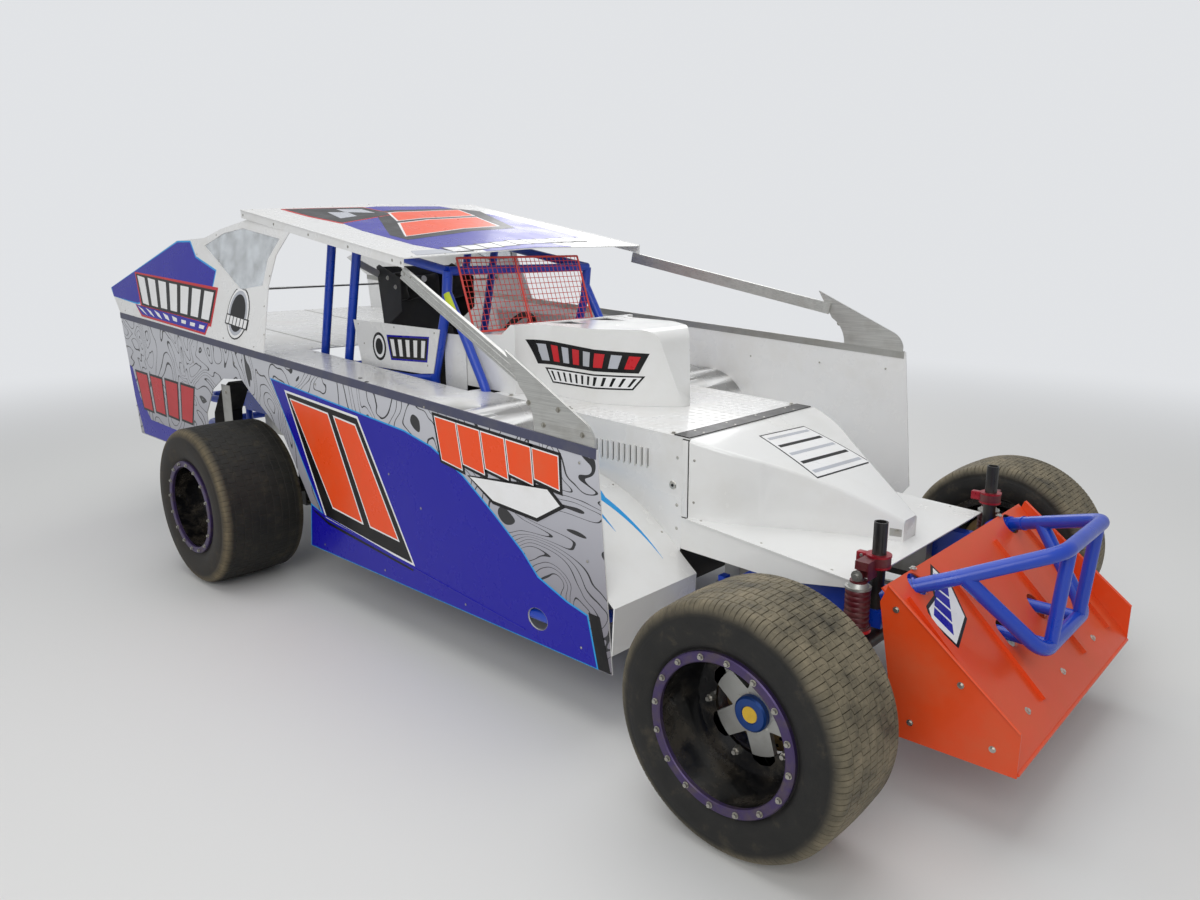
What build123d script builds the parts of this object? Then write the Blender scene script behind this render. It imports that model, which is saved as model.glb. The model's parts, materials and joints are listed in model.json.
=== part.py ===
from build123d import *
from math import cos, hypot, radians, sin, tan
import os

# An open-wheel dirt modified race car, at full size, in millimetres: +X forward, +Y left, +Z up.
# Stations along the car are measured from the rear axle, as its builder would; save() then moves
# every piece by the same amount, so that the origin is on the ground under the middle of the car.

# Wheels and tyres
WHEELBASE = 2797
FRONT_TYRE_R = 332
FRONT_TYRE_W = 290
FRONT_MID_Y = 880
REAR_TYRE_R = 352
REAR_TYRE_W = 370
REAR_MID_Y = 925
SIDEWALL_BULGE = 14
SHOULDER = 42
BEAD_R = 190
RIM_WALL = 7
WELL_DEPTH = 12
RING_R = 208
RING_T = 14
RING_REACH = 10
HUB_DEPTH = 150
HUB_R = 55
HUB_L = 120
CAP_R = 48
CAP_L = 22
STAR_ARMS = 5
STAR_ARM_W = 46
STAR_T = 16
STAR_R = 140
DISC_R = 128
DISC_T = 20
DISC_BACK = 52
SPINDLE_R = 20
BORE_GAP = 0.5
CALIPER_R = 158

# Steering
KINGPIN_Y = 690
KINGPIN_R = 14
BARREL_R = 28
BARREL_H = 120
ARM_L = 160
ARM_W = 26
ARM_T = 20
ARM_DROP = 42
TIE_DROP = 27
DRAG_RISE = 27
LINK_PIN_R = 8
LINK_EYE_R = 18
LINK_EYE_T = 16
LINK_R = 11
LINK_CLEAR = 6
PITMAN_X = WHEELBASE - 82
PITMAN_Y = 279
PIN_GAP = 0.4
FACE_GAP = 0.3
WHEEL_CENTRE = (905, 25, 1005)
UNIVERSAL = (1290, 160, 870)
BOX_INPUT = (WHEELBASE - 244, 279, 412)
STEERING_R = 180
STEERING_RIM_R = 14
SHAFT_R = 11

# Chassis
TUBE_R = 20
CROSS_R = 19
RAIL_Y = 330
RAIL_W = 51
RAIL_D = 102
RAIL_LINE = [(-1000, 620), (-250, 620), (350, 255), (WHEELBASE - 567, 255), (WHEELBASE - 277, 470),
             (WHEELBASE + 163, 470)]
RAIL_EDGE = RAIL_Y + RAIL_W / 2
SIDE_RAIL_Z = 300
SIDE_FOOT_Z = 284
AXLE_R = 38
POST_X = WHEELBASE + 88
POST_Y = 415
POST_R = 19
POST_TOP = 742
POST_BORE_R = 15
POST_BORE_L = 60
CLAMP_Z = 632
SHOCK_X = WHEELBASE + 65
SHOCK_Y = 480
SHOCK_R = 32
SHOCK_EYE_R = 15
REAR_SHOCK_Y = 470
REAR_SHOCK_HEAD_Y = 359.7
HOOP_X = -130
HOOP_Z = 850
TANK_REAR_X = -975
TANK_FRONT_X = -330
ROD_TAB = 7
ROD_END_X = WHEELBASE - 467
SHOVEL_TAB_Z = 589
FLOOR_T = 4

# Body sheets
SHEET = 4
SIDE_Y = 800
ROOF_Y = 670
SAIL_TOP_Y = 664
SAIL_FOOT_GAP = 1.8
HEM_Z = 1031.7
HEM_SLOPE = -0.0601
LEFT_RISE = 165
DECK_DROP = 45
ENGINE_BAY_Y = 395
LOUVRES = 10
LOUVRE_PITCH = 26
LOUVRE_Z = (750, 812)
LOUVRE_W = 8
LOUVRE_RISE = 8
LOUVRE_LAP = 3
CAGE_Y = 400
SCREEN_X = 1078
SCREEN_Z = 1284
SCREEN_Y = -35
SCREEN_LEAN = 18.7
SCREEN_WIRE = 4
SCREEN_PITCH = 48
SCREEN_TABS_Y = (SCREEN_Y - 6 * SCREEN_PITCH, SCREEN_Y + 6 * SCREEN_PITCH)
TAB_Z = 1372
TAB_T = 8
DASH_X = 1216
DASH_Z = 850
NOSE_X = WHEELBASE - 582
NOSE_TIP_X = WHEELBASE - 7
NOSE_HALF = 395
NOSE_TIP_HALF = 45
LEDGE_X = WHEELBASE + 53
ENGINE_BACK = 1350
ENGINE_FRONT = NOSE_X - 225
ENGINE_MOUNT_X = (ENGINE_BACK + ENGINE_FRONT) / 2
HOOD_BACK = 1250
COWL_X = 1060
COWL_Y = 374
SCOOP_HALF = 235
SCOOP_TIP_X = 1902
SCOOP_WALL = 6
SCOOP_RIM = 30
SCOOP_TOP_Z = 1178
NOSE_ROUND = 14
LEDGE_REAR_Z = 604
LEDGE_FRONT_Z = 562
DECK_FRONT_Z = 868
TAIL_X = -1470
PANEL_FRONT = WHEELBASE - 607
LEFT_FRONT = PANEL_FRONT + 190
PANEL_BOTTOM = 210
JACK_HOLE_Z = 296
JACK_HOLE = (45, 36)
ROOF_REAR_X = -170
ROOF_FRONT_X = 1090
ROOF_REAR_Z = 1640
ROOF_FRONT_Z = 1432
ROOF_LEFT_REAR = 60
ROOF_LEFT_FRONT = 40
ROOF_SKIRT = 36
ROOF_CROWN = 14
POST_W = 46
POST_T = 14
GROOVE_R = 4
SHOVEL_Y = 520
SHOVEL_T = 5
BUMPER_R = 21

MID_X = 832
RIGHT, LEFT = -1, 1
SIDES = (RIGHT, LEFT)


def save(name, *shapes):
    """Writes one sub-part, moved from axle stations to the origin under the car's middle."""
    solids = [Pos(-MID_X, 0, 0) * solid for shape in shapes for solid in shape.solids()]
    piece = solids[0] if len(solids) == 1 else Compound(children=solids)
    piece.label = name
    export_step(piece, f"parts/{name}.step")


def hem(x, side=RIGHT):
    """Height of a side panel's top edge, which falls forward; the left one stands higher."""
    return HEM_Z + HEM_SLOPE * x + (LEFT_RISE if side == LEFT else 0)


def deck(x):
    """Height of the decks inside the body, a little under the right panel's top edge."""
    return hem(x) - DECK_DROP


def upright(y):
    """A plane standing fore and aft: its local x and y are the car's x and z, facing right."""
    return Plane(origin=(0, y, 0), x_dir=(1, 0, 0), z_dir=(0, -1, 0))


def side_sheet(points, y, side, thick=SHEET):
    """A flat sheet in the fore-and-aft plane, its outer face at y on the given side."""
    face = upright(side * y) * make_face(Polyline(*points, close=True))
    return extrude(face, amount=thick if side == LEFT else -thick)


def ribbon(points, width):
    """The outline of a bent strip about its centre line, with mitred corners."""
    left, right = [], []
    for i, (x, z) in enumerate(points):
        spans = []
        if i > 0:
            spans.append((x - points[i - 1][0], z - points[i - 1][1]))
        if i < len(points) - 1:
            spans.append((points[i + 1][0] - x, points[i + 1][1] - z))
        normals = [(-dz / hypot(dx, dz), dx / hypot(dx, dz)) for dx, dz in spans]
        nx = sum(n[0] for n in normals)
        nz = sum(n[1] for n in normals)
        reach = width / 2 * len(normals) / (nx * nx + nz * nz)
        left.append((x + nx * reach, z + nz * reach))
        right.append((x - nx * reach, z - nz * reach))
    return left + right[::-1]


def across(points, y0, y1):
    """A profile in x and z, stretched sideways from y0 to y1."""
    low, high = min(y0, y1), max(y0, y1)
    face = upright(high) * make_face(Polyline(*points, close=True))
    return extrude(face, amount=high - low)


def folded(points, y0, y1, thick=SHEET):
    """A sheet folded along lines that run across the car."""
    return across(ribbon(points, thick), y0, y1)


def block(x, y, z):
    """A box between two x, two y and two z values."""
    size = (x[1] - x[0], y[1] - y[0], z[1] - z[0])
    return Pos((x[0] + x[1]) / 2, (y[0] + y[1]) / 2, (z[0] + z[1]) / 2) * Box(*size)


def rod(a, b, radius):
    """A round bar from a to b."""
    line = Line(a, b)
    return extrude(Plane(origin=a, z_dir=line % 0) * Circle(radius), amount=line.length)


def tube(points, radius=TUBE_R, bend=90):
    """A bent tube through points, its corners rounded."""
    if len(points) == 2:
        return rod(points[0], points[1], radius)
    path = FilletPolyline(*points, radius=bend)
    return sweep(Plane(origin=path @ 0, z_dir=path % 0) * Circle(radius), path=path)


def mirrored(points):
    return [(x, -y, z) for x, y, z in points]


def ahead(*points):
    """Points whose first number is counted ahead of the front axle."""
    return [(WHEELBASE + point[0],) + tuple(point[1:]) for point in points]


def joined(shapes):
    """Welds a list of shapes into one."""
    return Part() + list(shapes)


def trimmed(shape, others):
    """A shape cut back to the faces of the pieces that it is welded to."""
    for other in others:
        shape = joined((shape - other).solids())
    return shape


def turned(profile):
    """Revolves a closed profile of (radius, distance along the axle) about the car's Y axis."""
    return revolve(make_face(profile), axis=Axis.Y)


# Wheels: each is built about its own centre, with +Y outward, then placed.

def tyre(radius, width):
    """A tyre on its rim, its tread crowned and its sidewalls bulged."""
    half = width / 2
    bead = half - SIDEWALL_BULGE
    wall_r = (BEAD_R + radius - SHOULDER) / 2
    rim_side = [
        Line((BEAD_R, -bead), (BEAD_R, bead)),
        Line((BEAD_R, bead), (RING_R + 3, bead)),
        ThreePointArc((RING_R + 3, bead), (wall_r, half), (radius - SHOULDER, half - 4)),
        ThreePointArc((radius - SHOULDER, half - 4), (radius - 11, half - 17), (radius - 4, half - SHOULDER)),
        ThreePointArc((radius - 4, half - SHOULDER), (radius, 0), (radius - 4, SHOULDER - half)),
        ThreePointArc((radius - 4, SHOULDER - half), (radius - 11, 17 - half), (radius - SHOULDER, 4 - half)),
        ThreePointArc((radius - SHOULDER, 4 - half), (wall_r, -half), (RING_R + 3, -bead)),
        Line((RING_R + 3, -bead), (BEAD_R, -bead)),
    ]
    return turned(rim_side)


def wheel(width):
    """A wide steel rim with its outer beadlock ring, bolted on a five-armed hub with its brake disc."""
    half = width / 2
    outer = half - SIDEWALL_BULGE
    seat = BEAD_R - FACE_GAP
    bore = seat - RIM_WALL
    well = seat - WELL_DEPTH
    flange = outer - HUB_DEPTH + RING_T
    lip = outer + FACE_GAP
    barrel = [(seat, -lip), (RING_R, -lip), (RING_R, -outer - RING_REACH), (bore, -outer - RING_REACH),
              (bore, -outer + 40), (well - RIM_WALL, -outer + 70), (well - RIM_WALL, flange - 30),
              (STAR_R - 25, flange - 12), (STAR_R - 25, flange), (well - RIM_WALL, flange),
              (bore, flange + 25), (bore, outer + RING_T), (RING_R, outer + RING_T), (RING_R, lip),
              (seat, lip), (seat, flange + 20), (well, flange - 5), (well, -outer + 70), (seat, -outer + 40)]
    rim = turned(Polyline(*barrel, close=True))
    face = flange - 12
    back = face - HUB_L
    hub = [(SPINDLE_R + BORE_GAP, back), (SPINDLE_R + BORE_GAP, face + 4), (0, face + 4), (0, face + CAP_L),
           (CAP_R - 6, face + CAP_L), (CAP_R, face + CAP_L - 6), (CAP_R, face), (HUB_R, face),
           (HUB_R, face - DISC_BACK),
           (DISC_R, face - DISC_BACK), (DISC_R, face - DISC_BACK - DISC_T), (HUB_R, face - DISC_BACK - DISC_T),
           (HUB_R, back)]
    parts = [rim, turned(Polyline(*hub, close=True))]
    for i in range(STAR_ARMS):
        arm = block((-STAR_ARM_W / 2, STAR_ARM_W / 2), (face - STAR_T, face), (HUB_R - 10, STAR_R))
        parts.append(Rot(0, i * 360 / STAR_ARMS, 0) * arm)
    return joined(parts)


def hub_face(width):
    """How far out of a wheel's middle its hub ends, for the spindle that carries it."""
    return width / 2 - SIDEWALL_BULGE - HUB_DEPTH + RING_T - 12


def placed(shape, x, y, z):
    """Puts a wheel's piece on its side; a right wheel is turned round to face outward."""
    return Pos(x, y, z) * (shape if y > 0 else Rot(0, 0, 180) * shape)


def build_wheels():
    axles = (("front", WHEELBASE, FRONT_MID_Y, FRONT_TYRE_R, FRONT_TYRE_W),
             ("rear", 0, REAR_MID_Y, REAR_TYRE_R, REAR_TYRE_W))
    for end, x, mid, radius, width in axles:
        for side, hand in ((RIGHT, "right"), (LEFT, "left")):
            save(f"tyre_{end}_{hand}", placed(tyre(radius, width), x, side * mid, radius))
            save(f"wheel_{end}_{hand}", placed(wheel(width), x, side * mid, radius))


# Steering

ARM_Z = FRONT_TYRE_R - ARM_DROP
ARM_X = WHEELBASE - ARM_L
TIE_Z = ARM_Z - TIE_DROP
DRAG_Z = ARM_Z + DRAG_RISE


def knuckle(side):
    """A kingpin barrel with its spindle, steering arm and brake caliper."""
    z = FRONT_TYRE_R
    y = side * KINGPIN_Y
    barrel = Pos(WHEELBASE, y, z) * Cylinder(BARREL_R, BARREL_H)
    pin = Pos(WHEELBASE, y, z) * Cylinder(KINGPIN_R, BARREL_H + 56)
    reach = FRONT_MID_Y + hub_face(FRONT_TYRE_W)
    stub = rod((WHEELBASE, y, z), (WHEELBASE, side * (reach - 2), z), SPINDLE_R)
    root = rod((WHEELBASE, y, z), (WHEELBASE, side * (reach - HUB_L - 6), z), SPINDLE_R + 6)
    arm = block((ARM_X, WHEELBASE), (y - ARM_W / 2, y + ARM_W / 2), (ARM_Z - ARM_T / 2, ARM_Z + ARM_T / 2))
    boss = Pos(ARM_X, y, ARM_Z) * Cylinder(ARM_W / 2, ARM_T)
    low = TIE_Z - LINK_EYE_T / 2 - 6
    high = DRAG_Z + LINK_EYE_T / 2 + 6 if side == LEFT else ARM_Z
    ball = Pos(ARM_X, y, (low + high) / 2) * Cylinder(LINK_PIN_R, high - low)
    disc = reach - DISC_BACK - DISC_T / 2
    hub_axis = Pos(WHEELBASE, side * disc, z) * Rot(90, 0, 0)
    jaw = (side * disc - 30, side * disc + 30)
    caliper = block((WHEELBASE - 55, WHEELBASE + 55), jaw, (z + 90, z + CALIPER_R))
    shell = (caliper & (hub_axis * Cylinder(CALIPER_R, 80))) - hub_axis * Cylinder(DISC_R + 6, DISC_T + 12)
    width = (WHEELBASE - 22, WHEELBASE + 22)
    hanger = block(width, sorted((y + side * 32, side * (disc - 20))), (z + 95, z + 110))
    plate = block(width, sorted((y + side * 32, y + side * 44)), (z, z + 110))
    return barrel, pin, stub, root, arm, boss, ball, shell, hanger, plate


def eye(x, y, z):
    """The eye at a link's end, round its pin."""
    ring = Cylinder(LINK_EYE_R, LINK_EYE_T) - Cylinder(LINK_PIN_R + PIN_GAP, LINK_EYE_T)
    return Pos(x, y, z) * ring


def link(a, b):
    """A straight link with an eye at both ends."""
    span = hypot(b[0] - a[0], b[1] - a[1])
    inset = (LINK_EYE_R - 3) / span
    start = tuple(p + (q - p) * inset for p, q in zip(a, b))
    end = tuple(q + (p - q) * inset for p, q in zip(a, b))
    return joined([eye(*a), eye(*b), rod(start, end, LINK_R)])


def build_steering():
    for side, hand in ((RIGHT, "right"), (LEFT, "left")):
        save(f"knuckle_{hand}", joined(list(knuckle(side))))
    save("tie_rod", link((ARM_X, -KINGPIN_Y, TIE_Z), (ARM_X, KINGPIN_Y, TIE_Z)))
    arm_end = (PITMAN_X - ARM_L, PITMAN_Y, DRAG_Z)
    save("drag_link", link(arm_end, (ARM_X, KINGPIN_Y, DRAG_Z)))
    arm_z = DRAG_Z + LINK_R + LINK_CLEAR + ARM_T / 2
    arm = block((PITMAN_X - ARM_L, PITMAN_X), (PITMAN_Y - ARM_W / 2, PITMAN_Y + ARM_W / 2),
                (arm_z - ARM_T / 2, arm_z + ARM_T / 2))
    low = DRAG_Z - LINK_EYE_T / 2 - LINK_CLEAR
    ball = Pos(arm_end[0], PITMAN_Y, (low + arm_z) / 2) * Cylinder(LINK_PIN_R, arm_z - low)
    shaft = Pos(PITMAN_X, PITMAN_Y, arm_z + 20) * Cylinder(KINGPIN_R, 40)
    ends = [Pos(x, PITMAN_Y, arm_z) * Cylinder(ARM_W / 2 + 4, ARM_T) for x in (arm_end[0], PITMAN_X)]
    save("pitman_arm", joined([arm, ball, shaft] + ends))
    top = arm_z + ARM_T / 2 + 6
    inner = RAIL_Y - RAIL_W / 2 - FACE_GAP
    case = block((PITMAN_X - 180, PITMAN_X + 30), (inner - 50, inner), (top, top + 110))
    case = case - Pos(PITMAN_X, PITMAN_Y, arm_z + 20) * Cylinder(KINGPIN_R + PIN_GAP, 44)
    case = case - rod(UNIVERSAL, BOX_INPUT, SHAFT_R + PIN_GAP)
    save("steering_box", case)
    build_steering_wheel()


def build_steering_wheel():
    """The wheel with its shaft, and the shaft ahead of the universal joint."""
    axis = Line(WHEEL_CENTRE, UNIVERSAL)
    at_wheel = Plane(origin=WHEEL_CENTRE, z_dir=axis % 0)
    ring = at_wheel * Torus(STEERING_R, STEERING_RIM_R)
    hub = at_wheel * Cylinder(38, 24)
    parts = [ring, hub]
    for turn in (90, 210, 330):
        spoke = Rot(0, 0, turn) * Pos(STEERING_R / 2, 0, 0) * Box(STEERING_R - 8, 30, 5)
        parts.append(at_wheel * spoke)
    near = axis @ ((axis.length - 26) / axis.length)
    parts.append(rod(WHEEL_CENTRE, tuple(near), SHAFT_R))
    save("steering_wheel", joined(parts))
    lower = Line(UNIVERSAL, BOX_INPUT)
    start = lower @ (8 / lower.length)
    end = lower @ (1 - 6 / lower.length)
    save("steering_shaft", joined([rod(tuple(start), tuple(end), SHAFT_R), Pos(*UNIVERSAL) * Sphere(15)]))


# Chassis

def build_frame():
    """Two rectangular rails kicked up over both axles, with what is welded to them."""
    rails = []
    for side in SIDES:
        y = side * RAIL_Y
        parts = [across(ribbon(RAIL_LINE, RAIL_D), y - RAIL_W / 2, y + RAIL_W / 2)]
        edge = sorted((y, side * (RAIL_EDGE + ROD_TAB)))
        parts.append(block((ROD_END_X - 12, ROD_END_X + 12), edge, (220, 425)))
        tab_x = (WHEELBASE + 143, WHEELBASE + 153)
        parts.append(block(tab_x, sorted((y - 20, y + 20)), (500, SHOVEL_TAB_Z)))
        mount = side * ((260 if side == RIGHT else 180) + FACE_GAP)
        parts.append(block((ENGINE_MOUNT_X - 30, ENGINE_MOUNT_X + 30), sorted((y, mount)), (270, 300)))
        parts.append(block((POST_X - 30, POST_X + 30), sorted((y, side * (POST_Y + 25))), (445, 495)))
        rails.append(joined(parts))
    save("frame", *rails)
    save("frame_cross_members", *cross_members(rails))
    side_rails = [outer_rail(side) for side in SIDES]
    save("side_rails", *side_rails)
    return rails + side_rails


def cross_members(rails):
    """Tubes between the rails, and the hoop over the axle that carries the rear shocks."""
    bars = []
    for x, z in [(TANK_REAR_X, 620), (TANK_FRONT_X, 620), (560, 255), (1300, 229)] + ahead(
            (-617, 255), (-477, 299.7), (128, 470)):
        bars.append(tube([(x, -RAIL_Y, z), (x, RAIL_Y, z)], CROSS_R))
    hoop = [tube([(HOOP_X, -REAR_SHOCK_HEAD_Y, HOOP_Z), (HOOP_X, REAR_SHOCK_HEAD_Y, HOOP_Z)], CROSS_R)]
    for side in SIDES:
        hoop.append(tube([(HOOP_X, side * RAIL_Y, 560), (HOOP_X, side * RAIL_Y, HOOP_Z)]))
    return [trimmed(bar, rails) for bar in bars + [joined(hoop)]]


def outer_rail(side):
    """The bent tube along the foot of a side panel, with its leg to the rail."""
    y = side * RAIL_Y
    outer = side * (SIDE_Y - SHEET - FACE_GAP - TUBE_R)
    back = [(620, y, SIDE_FOOT_Z), (700, outer, SIDE_RAIL_Z)]
    front = ahead((-747, outer, SIDE_RAIL_Z), (-667, y, SIDE_FOOT_Z))
    leg = tube([(ENGINE_BACK, y, SIDE_FOOT_Z), (ENGINE_BACK, outer, SIDE_RAIL_Z)])
    outside = block((500, WHEELBASE), sorted((side * RAIL_EDGE, side * SIDE_Y)), (200, 400))
    return joined([tube(back + front), leg]) & outside


def roof_bar(x):
    """Height of the roof bars, under the roof."""
    return ROOF_REAR_Z + (ROOF_FRONT_Z - ROOF_REAR_Z) * (x - ROOF_REAR_X) / (ROOF_FRONT_X - ROOF_REAR_X) - 70


def screen_x(z):
    """Station of the windscreen's plane at height z."""
    return SCREEN_X + (SCREEN_Z - z) * tan(radians(SCREEN_LEAN))


def build_cage(chassis):
    """The roll cage: two hoops, windscreen pillars, roof bars, door bars and a dash bar."""
    front, back = 1000, 150
    parts = []
    for side in SIDES:
        y = side * CAGE_Y
        foot = side * RAIL_Y
        parts.append(tube([(230, foot, 290), (215, y, 930), (355, y, roof_bar(355))], bend=150))
        parts.append(tube([(-60, foot, 505), (5, y, 946), (back, y, roof_bar(back))], bend=150))
        post = [(820, foot, 290), (885, y, 940), (985, y, 1243), (front, y, roof_bar(front))]
        parts.append(tube(post, bend=120))
        parts.append(tube([(988, y, 1300), (DASH_X, y, 918), (DASH_X + 9, foot, 290)], CROSS_R, 120))
        parts.append(tube([(back, y, roof_bar(back)), (front, y, roof_bar(front))], CROSS_R))
        parts.append(tube([(215, y, 930), (330, side * (CAGE_Y + 22), 928), (760, side * (CAGE_Y + 22), 925),
                           (885, y, 940)], CROSS_R, 60))
    bars = [(x, roof_bar(x)) for x in (back, 355, front)] + [(DASH_X, DASH_Z), (215, 930)]
    for x, z in bars:
        reach = CAGE_Y - 8 if z == DASH_Z else CAGE_Y
        parts.append(tube([(x, -reach, z), (x, reach, z)], CROSS_R - 1))
    column = Line(WHEEL_CENTRE, UNIVERSAL)
    at_dash = column @ ((DASH_X - WHEEL_CENTRE[0]) / (UNIVERSAL[0] - WHEEL_CENTRE[0]))
    bearing = Plane(origin=at_dash, z_dir=column % 0)
    parts.append(bearing * Cylinder(22, 24))
    parts.append(rod((DASH_X, at_dash.Y, DASH_Z), tuple(at_dash), 9))
    for y in SCREEN_TABS_Y:
        tab_end = screen_x(TAB_Z + TAB_T) - SCREEN_WIRE / 2 - FACE_GAP
        parts.append(block((front, tab_end), (y - 12, y + 12), (TAB_Z, TAB_Z + TAB_T)))
    whole = joined(parts)
    whole = whole - bearing * Cylinder(SHAFT_R + BORE_GAP, 120)
    save("roll_cage", trimmed(whole, chassis))


def build_front_axle():
    """A straight tube axle with a forked end for each kingpin."""
    z = FRONT_TYRE_R
    parts = [rod((WHEELBASE, -650, z), (WHEELBASE, 650, z), AXLE_R)]
    ear = BARREL_H / 2 + FACE_GAP
    for side in SIDES:
        y = side * KINGPIN_Y
        fork = sorted((side * 638, side * 654))
        parts.append(block((WHEELBASE - 24, WHEELBASE + 24), fork, (z - ear - 16, z + ear + 16)))
        for low in (z - ear - 16, z + ear):
            jaw = sorted((side * 638, side * KINGPIN_Y))
            plate = block((WHEELBASE - 24, WHEELBASE + 24), jaw, (low, low + 16))
            plate = plate + Pos(WHEELBASE, y, low + 8) * Cylinder(24, 16)
            parts.append(plate - Pos(WHEELBASE, y, low + 8) * Cylinder(KINGPIN_R + PIN_GAP, 20))
        tab = sorted((side * 462, side * 498))
        parts.append(block((WHEELBASE - 10, WHEELBASE + 10), tab, (z - 115, z + 80)))
        parts.append(block((WHEELBASE, SHOCK_X + 14), sorted((side * 466, side * 494)), (z - 12, z + 12)))
    whole = joined(parts)
    save("front_axle", whole)
    return whole


def build_links(carriers):
    """Radius rods: two each side at the front, and two each side at the rear."""
    rods = []
    z = FRONT_TYRE_R
    for side in SIDES:
        for dz, back in ((68, 400), (-110, 240)):
            end = (ROD_END_X - 8, side * (RAIL_EDGE + ROD_TAB + 10), back)
            rods.append(rod((WHEELBASE - 4, side * 480, z + dz), end, 11))
        for dz, front in ((90, 290), (-90, 225)):
            end = (588, side * (RAIL_EDGE + 10), front)
            rods.append(rod((30, side * 560, REAR_TYRE_R + dz), end, 12))
    save("radius_rods", *[trimmed(bar, carriers) for bar in rods])


def build_rear_axle():
    """A live axle: its gear case, two tubes and the tube round the propeller shaft."""
    z = REAR_TYRE_R
    reach = REAR_MID_Y + hub_face(REAR_TYRE_W)
    parts = [rod((0, -reach + HUB_L + 6, z), (0, reach - HUB_L - 6, z), AXLE_R),
             rod((0, -reach + 2, z), (0, reach - 2, z), SPINDLE_R),
             Pos(0, 0, z) * Sphere(135),
             Pos(-60, 0, z) * Rot(0, 90, 0) * Cylinder(105, 190),
             rod((0, 0, z), (891.7, 0, z), 32)]
    for side in SIDES:
        parts.append(block((-24, 30), sorted((side * 548, side * 572)), (z - 105, z + 105)))
        parts.append(block((-90, 0), sorted((side * 458, side * 482)), (z - 14, z + 14)))
    whole = joined(parts)
    save("rear_axle", whole)
    return whole


def shock(foot, head, radius):
    """A coil-over unit: body, spring seat, top cap and an eye at both ends."""
    line = Line(foot, head)
    length = line.length
    at = [Plane(origin=line @ (d / length), z_dir=line % 0) for d in (0, length * 0.36, length * 0.86)]
    parts = [rod(foot, head, 9),
             extrude(at[1] * Circle(radius), amount=length * 0.5),
             extrude(at[1] * Circle(radius + 7), amount=12),
             extrude(at[2] * Circle(radius - 8), amount=length * 0.08)]
    for end in (foot, head):
        parts.append(Pos(*end) * Rot(90, 0, 0) * Cylinder(SHOCK_EYE_R, 24))
    return joined(parts)


def build_shocks():
    """Front units hang from clamps on the posts; rear ones stand on the axle."""
    units = []
    for side in SIDES:
        foot = (SHOCK_X, side * SHOCK_Y, FRONT_TYRE_R + 12 + SHOCK_EYE_R + FACE_GAP)
        head = (SHOCK_X, side * SHOCK_Y, CLAMP_Z - 30)
        clamp = Pos(POST_X, side * POST_Y, CLAMP_Z) * Cylinder(POST_R + 14, 34)
        arm_y = sorted((side * (POST_Y + 22), side * (SHOCK_Y + 12)))
        arm = block((SHOCK_X - 8, POST_X + 8), arm_y, (CLAMP_Z - 40, CLAMP_Z + 12))
        arm = arm - Pos(SHOCK_X, side * SHOCK_Y, CLAMP_Z - 30) * Box(60, 26, 36)
        hole = Pos(POST_X, side * POST_Y, CLAMP_Z) * Cylinder(POST_R + 1, 60)
        bolt = rod((SHOCK_X, side * (POST_Y + 26), head[2]), (SHOCK_X, side * (SHOCK_Y + 18), head[2]), 6)
        units.append(joined([clamp, arm, bolt, shock(foot, head, SHOCK_R)]) - hole)
        foot = (-75, side * REAR_SHOCK_Y, REAR_TYRE_R + 14 + SHOCK_EYE_R + FACE_GAP)
        units.append(shock(foot, (HOOP_X, side * (REAR_SHOCK_HEAD_Y + 12.3), HOOP_Z - 5), SHOCK_R))
    save("shocks", *units)
    posts = []
    for side in SIDES:
        y = side * POST_Y
        foot, step = 495, CLAMP_Z + 18
        lower = Pos(POST_X, y, (foot + step) / 2) * Cylinder(POST_R + 1, step - foot)
        upper = Pos(POST_X, y, (step + POST_TOP) / 2) * Cylinder(POST_R, POST_TOP - step)
        bore = Pos(POST_X, y, POST_TOP - POST_BORE_L / 2) * Cylinder(POST_BORE_R, POST_BORE_L)
        posts.append(lower + upper - bore)
    save("shock_posts", *posts)


def build_masses():
    """The engine with its gearbox as plain blocks, the radiator and the fuel tank."""
    engine = block((ENGINE_BACK, ENGINE_FRONT), (-260, 180), (235, 700))
    gearbox = block((892, ENGINE_BACK), (-110, 110), (255, 470))
    save("engine_block", engine + gearbox)
    core = block((NOSE_X + 75, NOSE_X + 135), (-285, 235), (319, 740))
    save("radiator", core)
    tank = block((TANK_REAR_X + CROSS_R + FACE_GAP, TANK_FRONT_X - CROSS_R - FACE_GAP), (-280, 280), (440, 800))
    save("fuel_tank", fillet(tank.edges().filter_by(Axis.Z), 40))


def build_floor():
    """The floor between the rails and the firewall behind the engine."""
    inner = RAIL_Y - RAIL_W / 2 - 1
    wall_x = ENGINE_BACK - 16
    floor = block((120, wall_x + 8), (-RAIL_Y, RAIL_Y), (204 - FLOOR_T, 204))
    wall = block((wall_x, wall_x + SHEET), (-inner, inner), (204 - FLOOR_T, 880))
    hole = block((wall_x - 34, wall_x + 46), (-112, 112), (250, 480))
    shaft = Pos(wall_x + 2, 164, 856) * Box(20, 60, 70)
    save("floor_and_firewall", (floor + wall) - hole - shaft)


def build_seat():
    """A folded aluminium bucket seat with rib and head wings."""
    half = 215
    shell = folded([(800, 470), (770, 440), (420, 436), (340, 520), (215, 1380)], -half, half, 5)
    wing = [(800, 474), (770, 560), (520, 600), (480, 900), (330, 980), (300, 1120), (400, 1180), (400, 1330),
            (232, 1390), (210, 1380), (335, 520), (420, 438), (770, 442)]
    sides = [side_sheet(wing, half, side, 5) for side in SIDES]
    feet = [(x, side) for x in (430, 700) for side in SIDES]
    legs = [block((x, x + 30), sorted((side * 180, side * 205)), (204, 438)) for x, side in feet]
    save("seat", joined([shell] + sides + legs))


# Body

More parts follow.
